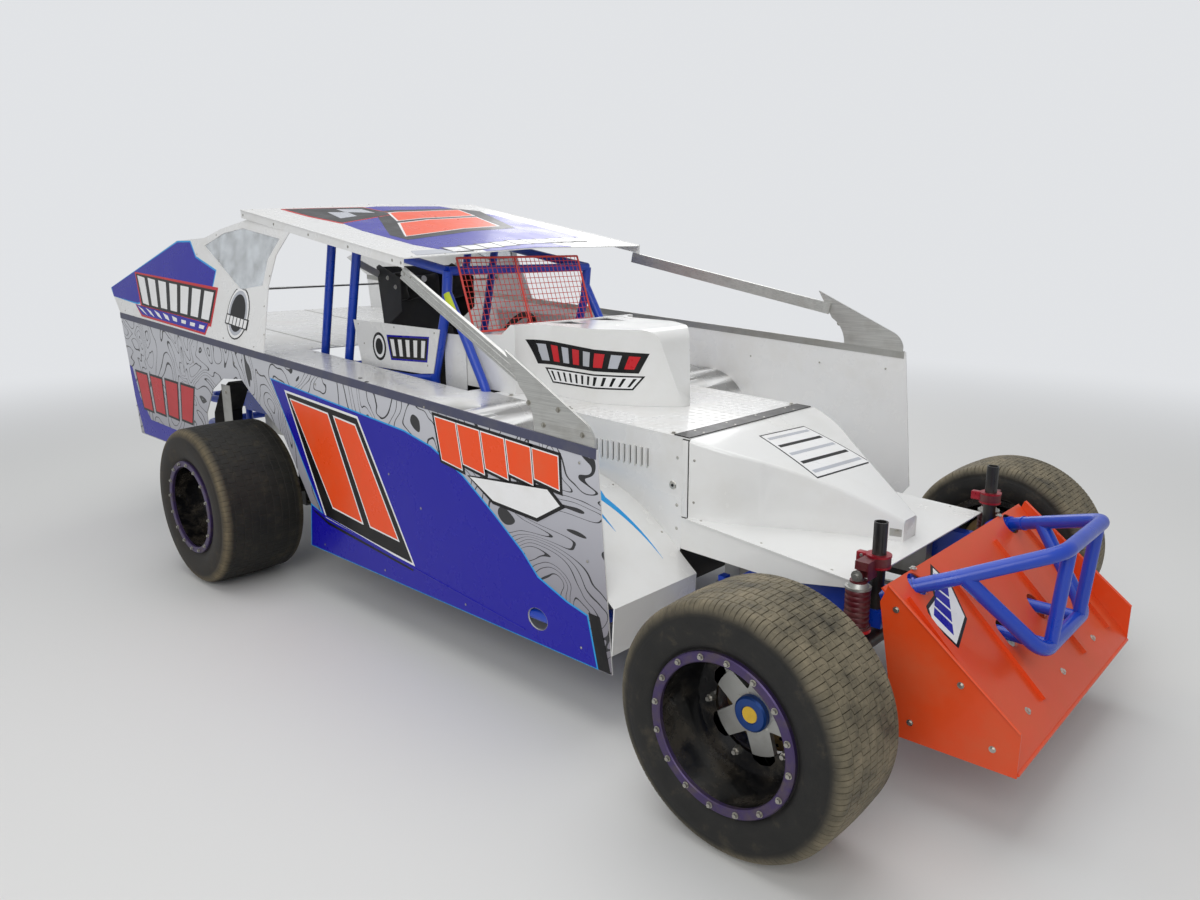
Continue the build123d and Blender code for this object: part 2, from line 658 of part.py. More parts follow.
def build_decks():
    """The rear deck, which runs forward as a ledge on both sides of the cockpit."""
    back, wrap, front = TAIL_X + 20, -45, 1200
    edge = SIDE_Y - SHEET - FACE_GAP
    line = [(back, deck(back) - 60), (back, deck(back)), (front, deck(front))]
    sheet = folded(line, -edge, edge)
    opening = block((wrap, front + 40), (-450, 450), (800, 1200))
    save("rear_deck", sheet - opening)


def hood_z(x):
    """Height of the deck over the engine."""
    return deck(HOOD_BACK) + (DECK_FRONT_Z - deck(HOOD_BACK)) * (x - HOOD_BACK) / (NOSE_X - HOOD_BACK)


def build_engine_cover():
    """The deck over the engine, and the louvred panels at its sides."""
    back, front = HOOD_BACK, NOSE_X
    top = [(back, hood_z(back)), (front, hood_z(front))]
    plate = folded(top, -ENGINE_BAY_Y, ENGINE_BAY_Y - 25)
    save("hood_deck", plate)
    panels = []
    for side in SIDES:
        y = ENGINE_BAY_Y if side == RIGHT else ENGINE_BAY_Y - 25
        under = SHEET / 2 + FACE_GAP
        outline = [(back, hood_z(back) - under), (front - 28, hood_z(front - 28) - under), (front - 28, 500),
                   (front - 85, 330), (back, 330)]
        panel = side_sheet(outline, y, side)
        hoods = []
        low, high = LOUVRE_Z[0] - LOUVRE_LAP, LOUVRE_Z[1] + LOUVRE_LAP
        for i in range(LOUVRES):
            x = front - 415 + i * LOUVRE_PITCH
            slot = (x, x + LOUVRE_W + LOUVRE_LAP)
            panel = panel - block(slot, sorted((side * (y - 10), side * (y + 10))), LOUVRE_Z)
            crest = (x + LOUVRE_W, side * (y + LOUVRE_RISE))
            plan = Polyline((x - LOUVRE_LAP, side * y), (x + LOUVRE_W, side * y), crest, close=True)
            hoods.append(extrude(Plane(origin=(0, 0, low)) * make_face(plan), amount=high - low))
        panels.append(joined([panel] + hoods))
    save("engine_side_panels", *panels)


def both_sides(edges, front, back):
    """A face from the left half's edges, their mirror image and the lines that close it."""
    right = [mirror(edge, about=Plane.XZ) for edge in edges]
    return make_face(edges + right + [front, back])


def scoop_plan(inset):
    """The scoop's foot: the cowl's width, drawn in to the scoop and round to a blunt front."""
    half, tip = SCOOP_HALF - inset, SCOOP_TIP_X - inset
    cowl = Line((COWL_X - inset, COWL_Y - inset), (1330, 345 - inset))
    neck = ThreePointArc((1330, 345 - inset), (1372, half + 27), (1440, half + 3))
    flank = Line((1440, half + 3), (1640, half - 4))
    cheek = ThreePointArc((1640, half - 4), (tip - 107, half - 107), (tip - 7, 26))
    front = ThreePointArc((tip - 7, 26), (tip, 0), (tip - 7, -26))
    back = Line((COWL_X - inset, COWL_Y - inset), (COWL_X - inset, inset - COWL_Y))
    return both_sides([cowl, neck, flank, cheek], front, back)


def scoop_profile(inset, foot):
    """The scoop from the side: the cowl, a step up, a long flat top and a raked, rounded front."""
    top = SCOOP_TOP_Z - inset
    back, front, toe = COWL_X - inset, (1780 - inset, top - 6), (1844 - inset, top - 62)
    roof = Polyline((back, foot), (back, 1128 - inset), (1262, 1138 - inset), (1310, top), front)
    brow = ThreePointArc(front, (1824 - inset, top - 22), toe)
    return [roof, brow, Polyline(toe, (SCOOP_TIP_X + 4 - inset, foot), (back, foot))]


def scoop_form(inset, foot):
    """The scoop as a solid, drawn in by the inset on every side."""
    column = extrude(Plane(origin=(0, 0, foot)) * scoop_plan(inset), amount=400)
    return column & extrude(upright(COWL_Y) * make_face(scoop_profile(inset, foot)), amount=2 * COWL_Y)


def build_scoop():
    """The moulded cowl with the air scoop that grows out of it, and its two mouths at the rear."""
    foot = hood_z(NOSE_X)
    shell = scoop_form(0, foot) - scoop_form(SCOOP_WALL, foot - 20)
    dish = extrude(Plane(origin=(0, 0, SCOOP_TOP_Z - SCOOP_WALL / 2)) * scoop_plan(SCOOP_RIM), amount=20)
    shell = shell - (dish & block((1330, 1800), (-300, 300), (1000, 1300)))
    for side in SIDES:
        mouth = Polyline((1335, side * 45), (1335, side * 172), (1500, side * 108), close=True)
        shell = shell - extrude(Plane(origin=(0, 0, SCOOP_TOP_Z - 30)) * make_face(mouth), amount=60)
    seat = SHEET / 2 + FACE_GAP
    under = across([(1000, 0), (1000, hood_z(1000) + seat), (1950, hood_z(1950) + seat), (1950, 0)], -500, 500)
    save("hood_scoop", shell - under)


def nose_form(inset, foot):
    """The nose as a solid: flared plan, humped profile, drawn in by the inset on every side."""
    half, tip, waist = NOSE_HALF - inset, NOSE_TIP_HALF - inset, 275 - inset
    flare = ThreePointArc((NOSE_X, half), (NOSE_X + 90, half - 38), (NOSE_X + 205, waist))
    taper = ThreePointArc((NOSE_X + 205, waist), (NOSE_X + 385, 148 - inset), (NOSE_TIP_X, tip))
    front = Line((NOSE_TIP_X, tip), (NOSE_TIP_X, -tip))
    back = Line((NOSE_X, half), (NOSE_X, -half))
    column = extrude(both_sides([flare, taper], front, back), amount=1200)
    top = DECK_FRONT_Z - inset
    crown = ThreePointArc((NOSE_X, top), (NOSE_X + 285, top - 93), (NOSE_TIP_X, top - 232))
    rest = Polyline((NOSE_TIP_X, top - 232), (NOSE_TIP_X, foot), (NOSE_X, foot), (NOSE_X, top))
    return column & extrude(upright(NOSE_HALF) * make_face([crown, rest]), amount=2 * NOSE_HALF)


def build_nose():
    """The nose: a humped top on upright walls, a ledge on both sides and the walls under it."""
    solid = nose_form(0, 560)
    middles = [(edge, edge.center()) for edge in solid.edges()]
    ridge = [edge for edge, at in middles if at.Z > 660 and abs(at.Y) > 5 and at.X > NOSE_X + 5]
    hollow = nose_form(SHEET, 500)
    below = [(NOSE_X - 5, 0), (NOSE_X - 5, LEDGE_REAR_Z), (LEDGE_X, LEDGE_FRONT_Z), (LEDGE_X, 0)]
    under = across(below, -460, 460)
    cover = fillet(ridge, NOSE_ROUND) - hollow - under
    ledge = folded([(NOSE_X, LEDGE_REAR_Z), (LEDGE_X, LEDGE_FRONT_Z)], -460, 460)
    plan = [(NOSE_X, -405), (LEDGE_X, -450), (LEDGE_X, 450), (NOSE_X, 405)]
    ledge = ledge & extrude(make_face(Polyline(*plan, close=True)), amount=1000)
    walls = []
    for side in SIDES:
        foot = Polyline((NOSE_X - 27, side * 396), (LEDGE_X - 35, side * 443), (LEDGE_X - 35, side * (443 - SHEET)),
                        (NOSE_X - 27, side * (396 - SHEET)), close=True)
        wall = extrude(Plane(origin=(0, 0, 400)) * make_face(foot), amount=300)
        outline = [(NOSE_X - 27, LEDGE_REAR_Z - 2), (NOSE_X - 27, 495), (LEDGE_X - 250, 497), (LEDGE_X - 35, 540),
                   (LEDGE_X - 35, LEDGE_FRONT_Z + 1)]
        walls.append(wall & across(outline, -460, 460))
    save("nose", joined([cover, ledge - hollow] + walls))


def build_shovel():
    """The front shovel: a sloping sheet with pressed beads, between two upright plates."""
    slope = ahead((148, 598), (508, 238), (525, 212))
    parts = [folded(slope, -SHOVEL_Y + SHEET, SHOVEL_Y - SHEET, SHOVEL_T)]
    plate = ahead((148, 560), (168, 612), (525, 325), (525, 205), (213, 198))
    for side in SIDES:
        parts.append(side_sheet(plate, SHOVEL_Y, side, SHOVEL_T))
        for y in (440, 190):
            parts.append(folded(ahead((193, 562), (483, 272)), side * y - 12, side * y + 12, 16))
    whole = joined(parts)
    for side in SIDES:
        whole = whole - rod(*ahead((83, side * 405, 530), (293, side * 305, 620)), BUMPER_R + 12)
        whole = whole - rod(*ahead((103, side * 130, 400), (453, side * 130, 400)), BUMPER_R + 10)
    save("shovel", whole)


def loop(half):
    """A bumper tube from its left half's points, bent round to the right."""
    return tube(mirrored(half) + half[::-1], BUMPER_R, 80)


def build_bumpers(chassis):
    """The front bumper: an upper and a lower loop joined by uprights, and the rear hoops."""
    upper = ahead((96, 411, 535), (263, 330, 600), (488, 190, 690))
    lower = ahead((283, 318, 606), (465, 190, 400))
    parts = [loop(upper), loop(lower)]
    for side in SIDES:
        parts.append(rod(*ahead((465, side * 130, 400), (486, side * 130, 690)), BUMPER_R - 3))
        parts.append(rod(*ahead((164, side * 130, 400), (465, side * 130, 400)), BUMPER_R - 3))
        parts.append(rod(*ahead((164, side * 130, 400), (164, side * 325, 440)), BUMPER_R - 4))
    posts = [Pos(POST_X, side * POST_Y, 600) * Cylinder(POST_R + 1, 400) for side in SIDES]
    save("front_bumper", trimmed(joined(parts), chassis + posts))
    hoops = []
    for z in (600, 440):
        corner = [(-995, 330, z), (-1300, 400, z), (-1440, 380, z)]
        hoops.append(tube(mirrored(corner) + corner[::-1], BUMPER_R, 60))
    for side in SIDES:
        hoops.append(rod((-1440, side * 200, 440), (-1440, side * 200, 600), BUMPER_R - 3))
        hoops.append(rod((-1010, side * 330, 440), (-1010, side * 330, 600), BUMPER_R - 3))
    save("rear_bumper", trimmed(joined(hoops), chassis))


ARCH = [(-470, 440), (-457, 678), (-360, 806), (-243, 868), (-42, 884), (16, 843), (313, 673), (461, 467), (560, 330)]


def build_side_panels():
    """The long side panels with their rear wheel arches; the left one is taller and starts further forward."""
    for side, hand in ((RIGHT, "right"), (LEFT, "left")):
        front = PANEL_FRONT if side == RIGHT else LEFT_FRONT
        lift = 0 if side == RIGHT else 30
        arch = [(x, z + (lift if z > 400 else 0)) for x, z in ARCH]
        foot = [(front + 58, PANEL_BOTTOM)]
        if side == LEFT:
            foot = [(front + 55, PANEL_BOTTOM + 300), (front - 170, PANEL_BOTTOM)]
        outline = [(TAIL_X, hem(TAIL_X, side)), (front, hem(front, side))] + foot + [(480, PANEL_BOTTOM)]
        panel = side_sheet(outline + arch[::-1] + [(-1365, 448)], SIDE_Y, side)
        oval = upright(side * SIDE_Y) * Pos(front - 267, JACK_HOLE_Z) * Ellipse(*JACK_HOLE)
        hole = extrude(oval, amount=20, both=True)
        save(f"{hand}_side_panel", panel - hole)


# Points of the sail panel and its window: station, and share of the height from panel to roof.
SAIL = [(-1659, 0.165), (-859, 0.667), (-545, 0.754), (-389, 0.858), (-128, 1),
        (262, 1), (177, 0.796), (150, 0.542), (193, 0), (TAIL_X, 0)]
SAIL_WINDOW = [(-532, 0.697), (-349, 0.836), (-160, 0.921), (190, 0.931), (113, 0.746), (100, 0.529), (-97, 0.447)]


def roof_edge(x, side):
    """Height of the roof's top edge over a sail panel."""
    share = (x - ROOF_REAR_X) / (ROOF_FRONT_X - ROOF_REAR_X)
    lift = ROOF_LEFT_REAR + (ROOF_LEFT_FRONT - ROOF_LEFT_REAR) * share if side == LEFT else 0
    return ROOF_REAR_Z + (ROOF_FRONT_Z - ROOF_REAR_Z) * share + lift


def on_sail(x, share, side):
    """The place on a leaning sail panel above station x, at a share of its height there."""
    full = roof_edge(x, side) - ROOF_SKIRT - FACE_GAP - hem(x, side)
    height = hem(x, side) + max(share * full, SAIL_FOOT_GAP)
    reach = roof_edge(0, side) - ROOF_SKIRT - hem(0, side)
    return x, side * (SIDE_Y - (SIDE_Y - SAIL_TOP_Y) * (height - hem(x, side)) / reach), height


def build_sails():
    """The leaning sail panels with their clear windows, and the panes behind them."""
    panels, panes = [], []
    for side in SIDES:
        outline = [on_sail(x, share, side) for x, share in SAIL]
        window = [on_sail(x, share, side) for x, share in SAIL_WINDOW]
        lean = Vector(0, side * (SAIL_TOP_Y - SIDE_Y), roof_edge(0, side) - ROOF_SKIRT - hem(0, side))
        inward = Vector(1, 0, HEM_SLOPE).cross(lean).normalized() * side
        sheet = extrude(make_face(Polyline(*outline, close=True)), amount=SHEET, dir=inward)
        face = make_face(Polyline(*window, close=True))
        hole = Pos(inward * -10) * extrude(face, amount=30, dir=inward)
        panels.append(sheet - hole)
        middle = Vector(*face.center())
        wide = [tuple(middle + (Vector(*point) - middle) * 1.05) for point in window]
        pane = extrude(make_face(Polyline(*wide, close=True)), amount=3, dir=inward)
        panes.append(Pos(inward * (SHEET + FACE_GAP)) * pane)
    save("sail_panels", *panels)
    save("sail_windows", *panes)


def build_roof():
    """The roof: a lightly crowned sheet with a skirt along both sides, higher at the rear and left."""
    faces = []
    ends = ((ROOF_REAR_X, ROOF_REAR_Z, ROOF_LEFT_REAR), (ROOF_FRONT_X, ROOF_FRONT_Z, ROOF_LEFT_FRONT))
    for x, z, left_lift in ends:
        left, mid = z + left_lift, z + left_lift / 2 + ROOF_CROWN
        outer = [(-ROOF_Y, z - ROOF_SKIRT), (-ROOF_Y, z), (0, mid), (ROOF_Y, left), (ROOF_Y, left - ROOF_SKIRT)]
        edge = ROOF_Y - SHEET
        inner = [(edge, left - ROOF_SKIRT), (edge, left - SHEET), (0, mid - SHEET), (-edge, z - SHEET),
                 (-edge, z - ROOF_SKIRT)]
        faces.append(make_face(Polyline(*[(x, y, h) for y, h in outer + inner], close=True)))
    save("roof", loft(faces, ruled=True))


def build_roof_posts():
    """The extruded posts from the roof's front corners down to their gussets on the side panels."""
    posts = []
    for side, front, lift, foot_z in ((RIGHT, PANEL_FRONT, 0, 0), (LEFT, LEFT_FRONT, ROOF_LEFT_FRONT, 125)):
        head = (1060, side * (ROOF_Y - 16.5), 1378 + lift)
        knee = (front - 340, side * (SIDE_Y - 12), 1086 + foot_z)
        line = Line(head, knee)
        section = Rectangle(POST_T, POST_W)
        for z in (-POST_W / 4, POST_W / 4):
            section = section - Pos(side * POST_T / 2, z) * Circle(GROOVE_R)
        post = extrude(Plane(origin=head, x_dir=(0, 1, 0), z_dir=line % 0) * section, amount=line.length)
        x1 = front - 12
        x0 = x1 - 255
        top, back = (x0 - 130, knee[2] + 72), (x0 - 62, knee[2] - 38)
        heel, toe = (x0, hem(x0, side) + FACE_GAP), (x1, hem(x1, side) + FACE_GAP)
        round_back = ThreePointArc(back, (x0 - 10, (back[1] + heel[1]) / 2 - 5), heel)
        brow = (x1 - 40, toe[1] + 72)
        round_toe = ThreePointArc(brow, (x1 - 10, toe[1] + 44), (x1, toe[1] + 20))
        outline = [Line(top, back), round_back, Polyline(heel, toe, (x1, toe[1] + 20)), round_toe, Line(brow, top)]
        plate = upright(side * (SIDE_Y - 2)) * make_face(outline)
        posts.append(post + extrude(plate, amount=8 if side == LEFT else -8))
    save("roof_posts", *posts)


def build_screen():
    """The windscreen's wire screen in its bar frame."""
    width, height, pitch, wire = 690, 312, SCREEN_PITCH, SCREEN_WIRE
    cells = [Pos(x, y, 0) * Box(pitch - wire, pitch - wire, 20)
             for x in [(i - 6.5) * pitch for i in range(14)] for y in [(j - 2.5) * pitch for j in range(6)]]
    plate = Box(width, height, wire)
    for cell in cells:
        plate = plate - cell
    middle = Box(14, height, 10)
    lean = radians(SCREEN_LEAN)
    frame = Plane(origin=(SCREEN_X, SCREEN_Y, SCREEN_Z), x_dir=(0, 1, 0), z_dir=(cos(lean), 0, sin(lean)))
    save("windscreen_screen", frame * (plate + middle))


def build_door_plates():
    """The side plates of the cockpit, held outside the cage."""
    outline = [(322, 1152), (962, 1144), (905, 960), (820, 952), (372, 952)]
    save("door_plates", *[side_sheet(outline, CAGE_Y + TUBE_R + FACE_GAP + SHEET, side) for side in SIDES])


def build_side_pods():
    """The curved ramps ahead of the cockpit, between the engine panels and the side panels."""
    pods = []
    for side in SIDES:
        inner = ENGINE_BAY_Y + FACE_GAP if side == RIGHT else ENGINE_BAY_Y - 25 + FACE_GAP
        pods.append(pod(side * inner, side * (SIDE_Y - SHEET - FACE_GAP)))
    save("side_pods", *pods)


def pod(y0, y1):
    """One ramp: a sheet that curves down to a folded lip and an upright front."""
    back, crest, brow = ahead((-1157, 715), (-822, 632), (-602, 474))
    lip, foot = ahead((-542, 425), (-552, 270))
    ramp = ThreePointArc(back, crest, brow)
    inner = [point - (ramp % share).rotate(Axis.Z, 90) * SHEET for point, share in
             ((ramp @ 0, 0), (ramp @ 0.5, 0.5), (ramp @ 1, 1))]
    under = ThreePointArc(*inner)
    low_lip = (lip[0] - SHEET * 1.3, lip[1] - SHEET * 0.4)
    low_foot = (foot[0] - SHEET, foot[1])
    front = Polyline(brow, lip, foot, low_foot, low_lip, tuple(inner[2]))
    edges = [ramp, front, under, Line(tuple(inner[0]), back)]
    low, high = min(y0, y1), max(y0, y1)
    return extrude(upright(high) * make_face(edges), amount=high - low)


def build_wheel_wells():
    """Inner sheets that follow the front of each rear wheel arch."""
    wells = []
    for side in SIDES:
        line = [(-20, 905), (30, 858), (330, 690), (480, 480), (575, 350)]
        wells.append(folded(line, side * 450, side * (SIDE_Y - SHEET - FACE_GAP)))
    save("wheel_wells", *wells)


os.makedirs("parts", exist_ok=True)
build_wheels()
build_steering()
chassis = build_frame()
build_cage(chassis)
build_links(chassis + [build_front_axle(), build_rear_axle()])
build_shocks()
build_masses()
build_floor()
build_seat()
build_decks()
build_engine_cover()
build_scoop()
build_nose()
build_shovel()
build_bumpers(chassis)
build_side_panels()
build_sails()
build_roof()
build_roof_posts()
build_screen()
build_door_plates()
build_side_pods()
build_wheel_wells()
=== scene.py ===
# %% [markdown]
# # A dirt modified race car
# An open-wheel race car for oval tracks of clay: a tube frame with a cage, dressed in flat painted
# sheets. The frame, wheels and steering arrive from the CAD model and stay where they are. This
# lesson gives them their finishes and adds what the solids leave out: tread, bolts, mesh and vinyl.

# %% Load the frame
import cmath
import json
import math

import bmesh
import bpy
from mathutils import Matrix, Vector
from mathutils.bvhtree import BVHTree


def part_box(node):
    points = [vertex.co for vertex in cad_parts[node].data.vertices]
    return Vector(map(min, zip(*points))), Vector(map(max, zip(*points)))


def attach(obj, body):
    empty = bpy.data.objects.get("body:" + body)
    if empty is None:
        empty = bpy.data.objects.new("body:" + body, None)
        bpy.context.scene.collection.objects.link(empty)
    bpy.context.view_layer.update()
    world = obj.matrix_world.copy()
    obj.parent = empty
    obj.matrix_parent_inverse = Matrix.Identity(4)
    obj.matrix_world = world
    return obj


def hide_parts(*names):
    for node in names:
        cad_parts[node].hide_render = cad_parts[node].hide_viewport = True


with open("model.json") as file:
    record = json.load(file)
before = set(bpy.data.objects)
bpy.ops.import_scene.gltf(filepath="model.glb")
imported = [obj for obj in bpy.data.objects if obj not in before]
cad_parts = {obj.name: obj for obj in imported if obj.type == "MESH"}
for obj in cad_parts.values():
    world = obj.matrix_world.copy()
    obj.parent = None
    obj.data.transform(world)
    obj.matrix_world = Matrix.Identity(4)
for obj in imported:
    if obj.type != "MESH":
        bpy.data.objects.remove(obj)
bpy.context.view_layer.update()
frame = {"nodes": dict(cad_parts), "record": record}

# %% [markdown]
# ## Where things are
# The axles are taken from the frame's own boxes, so that the looks follow the solids. The four wheel
# boxes give the two axles, and stations along the car are counted from the rear axle, as its
# builder counts them.

# %% Measure the axles
RIGHT, LEFT = -1, 1
SIDES = (RIGHT, LEFT)
HANDS = (("right", RIGHT), ("left", LEFT))


def middle(node):
    """The centre of a CAD node's box."""
    low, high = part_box(node)
    return (low + high) / 2


REAR_AXLE = middle("wheel_rear_right").x
FRONT_AXLE = middle("tyre_front_right").x
print("wheelbase", round(FRONT_AXLE - REAR_AXLE, 3), "m")


def station(x):
    """A distance ahead of the rear axle, in metres, as an x in the frame."""
    return REAR_AXLE + x


def spot(x, y, z):
    """A place given by its station, its distance to the left and its height."""
    return Vector((station(x), y, z))


def new_object(name, data):
    """An object in the scene that holds a mesh, a lamp or a camera."""
    made = bpy.data.objects.new(name, data)
    bpy.context.scene.collection.objects.link(made)
    return made


# %% [markdown]
# ## The camera
# The view is from ahead of the right front wheel, back along the car. It is taken from close by with
# a wide lens, so near things look large; a long lens would flatten them. The lens is set by its focal
# length in pixels of a picture 1200 wide.

# %% Place the camera
PICTURE_WIDTH = 1200
FOCAL_PIXELS = 881.07
HEADING = 2.3237
DOWN = 0.2285
ROLL = -0.0047
CAMERA_AT = spot(3.888, -2.599, 1.475)


def look_matrix(at, heading, down, roll):
    """A camera's matrix: it looks along heading, tipped down, and rolled about its own view."""
    forward = Vector((math.cos(down) * math.cos(heading), math.cos(down) * math.sin(heading),
                      -math.sin(down)))
    right = Vector((math.sin(heading), -math.cos(heading), 0))
    up = right.cross(forward)
    turned_right = right * math.cos(roll) + up * math.sin(roll)
    turned_up = up * math.cos(roll) - right * math.sin(roll)
    turn = Matrix((turned_right, turned_up, -forward)).transposed().to_4x4()
    return Matrix.Translation(at) @ turn


camera_data = bpy.data.cameras.new("photo_camera")
camera = new_object("photo_camera", camera_data)
camera_data.sensor_width = 36
camera_data.lens = camera_data.sensor_width * FOCAL_PIXELS / PICTURE_WIDTH
camera.matrix_world = look_matrix(CAMERA_AT, HEADING, DOWN, ROLL)
bpy.context.scene.camera = camera
print("lens", round(camera_data.lens, 2), "mm")

# %% [markdown]
# ## Nodes and colours
# A material here is a small graph of nodes. One function adds a node with its settings. A node's
# sockets are given by name or number: a plain value is set, and another node's socket is linked, so
# that each material reads as a short recipe. Colours are written as people pick them, in sRGB hex,
# and one function turns them to the linear values that the renderer works in. Patterns are sized by
# what repeats on the real thing, in millimetres.

# %% Add a node, turn a colour


def linear(hex_colour):
    """An sRGB colour such as "f2f3f1" as linear red, green, blue and alpha."""
    values = [int(hex_colour[i:i + 2], 16) / 255 for i in (0, 2, 4)]
    return tuple(v / 12.92 if v <= 0.04045 else ((v + 0.055) / 1.055) ** 2.4 for v in values) + (1.0,)


def per_metre(size_mm):
    """How often a pattern of that size repeats in one metre."""
    return 1000 / size_mm


def give(tree, node, sockets):
    """Fills a node's sockets: another node's socket is linked, a value is set."""
    for key, value in sockets.items():
        if isinstance(value, bpy.types.NodeSocket):
            tree.links.new(value, node.inputs[key])
        else:
            node.inputs[key].default_value = value


def add(tree, kind, sockets=None, stops=None, **settings):
    """Adds a node with its settings, its sockets and the stops of a colour ramp."""
    made = tree.nodes.new(kind)
    for name, value in settings.items():
        setattr(made, name, value)
    give(tree, made, sockets or {})
    if stops:
        elements = made.color_ramp.elements
        while len(elements) < len(stops):
            elements.new(0.5)
        for element, (place, hex_colour) in zip(elements, stops):
            element.position = place
            element.color = linear(hex_colour)
    return made


def new_material(name):
    """An empty material, with its tree, its shader node and Object coordinates."""
    made = bpy.data.materials.new(name)
    made.use_nodes = True
    tree = made.node_tree
    place = add(tree, "ShaderNodeTexCoord").outputs["Object"]
    return made, tree, tree.nodes["Principled BSDF"], place


# %% [markdown]
# ## Smooth tubes from the frame
# The solids come as loose triangles, so a round tube would show its facets. Merging them in the
# solid itself is not wanted, because the frame must stay as it was packed. The solid's own mesh is
# left as it is: a modifier made of geometry nodes does the work on the fly instead. It merges the
# corners and shades every edge smooth unless it turns by more than a set angle.

# %% A modifier that shades by angle
MERGE_DISTANCE = 0.00002
SHARP_ANGLE = math.radians(32)


def shading_group():
    """Geometry nodes: merge by distance, then sharp edges only where the surface turns."""
    tree = bpy.data.node_groups.new("shade_by_angle", "GeometryNodeTree")
    tree.interface.new_socket("Geometry", in_out="INPUT", socket_type="NodeSocketGeometry")
    tree.interface.new_socket("Geometry", in_out="OUTPUT", socket_type="NodeSocketGeometry")
    came = add(tree, "NodeGroupInput")
    merged = add(tree, "GeometryNodeMergeByDistance",
                 {"Geometry": came.outputs[0], "Distance": MERGE_DISTANCE})
    angle = add(tree, "GeometryNodeInputMeshEdgeAngle")
    flat = add(tree, "FunctionNodeCompare", {0: angle.outputs[0], 1: SHARP_ANGLE}, operation="LESS_EQUAL")
    faces = add(tree, "GeometryNodeSetShadeSmooth", {"Geometry": merged.outputs[0], "Shade Smooth": True})
    edges = add(tree, "GeometryNodeSetShadeSmooth",
                {"Geometry": faces.outputs[0], "Shade Smooth": flat.outputs[0]}, domain="EDGE")
    add(tree, "NodeGroupOutput", {0: edges.outputs[0]})
    return tree


SHADING = shading_group()


def shade(piece):
    """Smooth shading by angle on a piece or CAD node, with its mesh left as it is."""
    piece.modifiers.new("shade_by_angle", "NODES").node_group = SHADING


# %% [markdown]
# ## Painted and plated surfaces
# Most of the car is sheet or tube with a coat on it: enamel, vinyl, powder or plating. They differ in
# colour, gloss and grain, yet one recipe serves: the coat's colour, a dry film of clay dust that
# gathers in patches, a roughness that follows the dust, and a fine grain as bump. Each row of the
# table is one real finish.

# %% The recipe for a coat
FILM_START, FILM_END = 0.46, 0.75
CLEAR_ROUGHNESS = 0.08
VINYL_SPECULAR = 0.25
RELIEF = 0.001  # how far the strongest bump stands out, in metres


def coat(name, hex_colour, dust_hex, dust, patch_mm, roughness, metallic, clear, grain_mm, grain_depth):
    """A coat of paint, vinyl or plating, with clay dust in patches and a fine grain."""
    made, tree, shader, place = new_material(name)
    patches = add(tree, "ShaderNodeTexNoise", {"Vector": place, "Scale": per_metre(patch_mm), "Detail": 7.0,
                                               "Roughness": 0.65})
    film = add(tree, "ShaderNodeMapRange", {"Value": patches.outputs["Fac"], "From Min": FILM_START,
                                            "From Max": FILM_END, "To Min": 0.0, "To Max": dust})
    colour = add(tree, "ShaderNodeMix", {0: film.outputs[0], 6: linear(hex_colour), 7: linear(dust_hex)},
                 data_type="RGBA")
    gloss = add(tree, "ShaderNodeMapRange", {"Value": patches.outputs["Fac"], "From Min": 0.3,
                                             "From Max": FILM_END, "To Min": roughness - 0.05,
                                             "To Max": roughness + 0.16})
    grain = add(tree, "ShaderNodeTexNoise", {"Vector": place, "Scale": per_metre(grain_mm), "Detail": 2.0})
    relief = add(tree, "ShaderNodeBump", {"Height": grain.outputs["Fac"], "Strength": grain_depth,
                                          "Distance": RELIEF})
    give(tree, shader, {"Base Color": colour.outputs[2], "Roughness": gloss.outputs[0],
                        "Normal": relief.outputs[0], "Metallic": metallic, "Coat Weight": clear,
                        "Coat Roughness": CLEAR_ROUGHNESS,
                        "Specular IOR Level": VINYL_SPECULAR if name.endswith("vinyl") else 0.5})
    return made


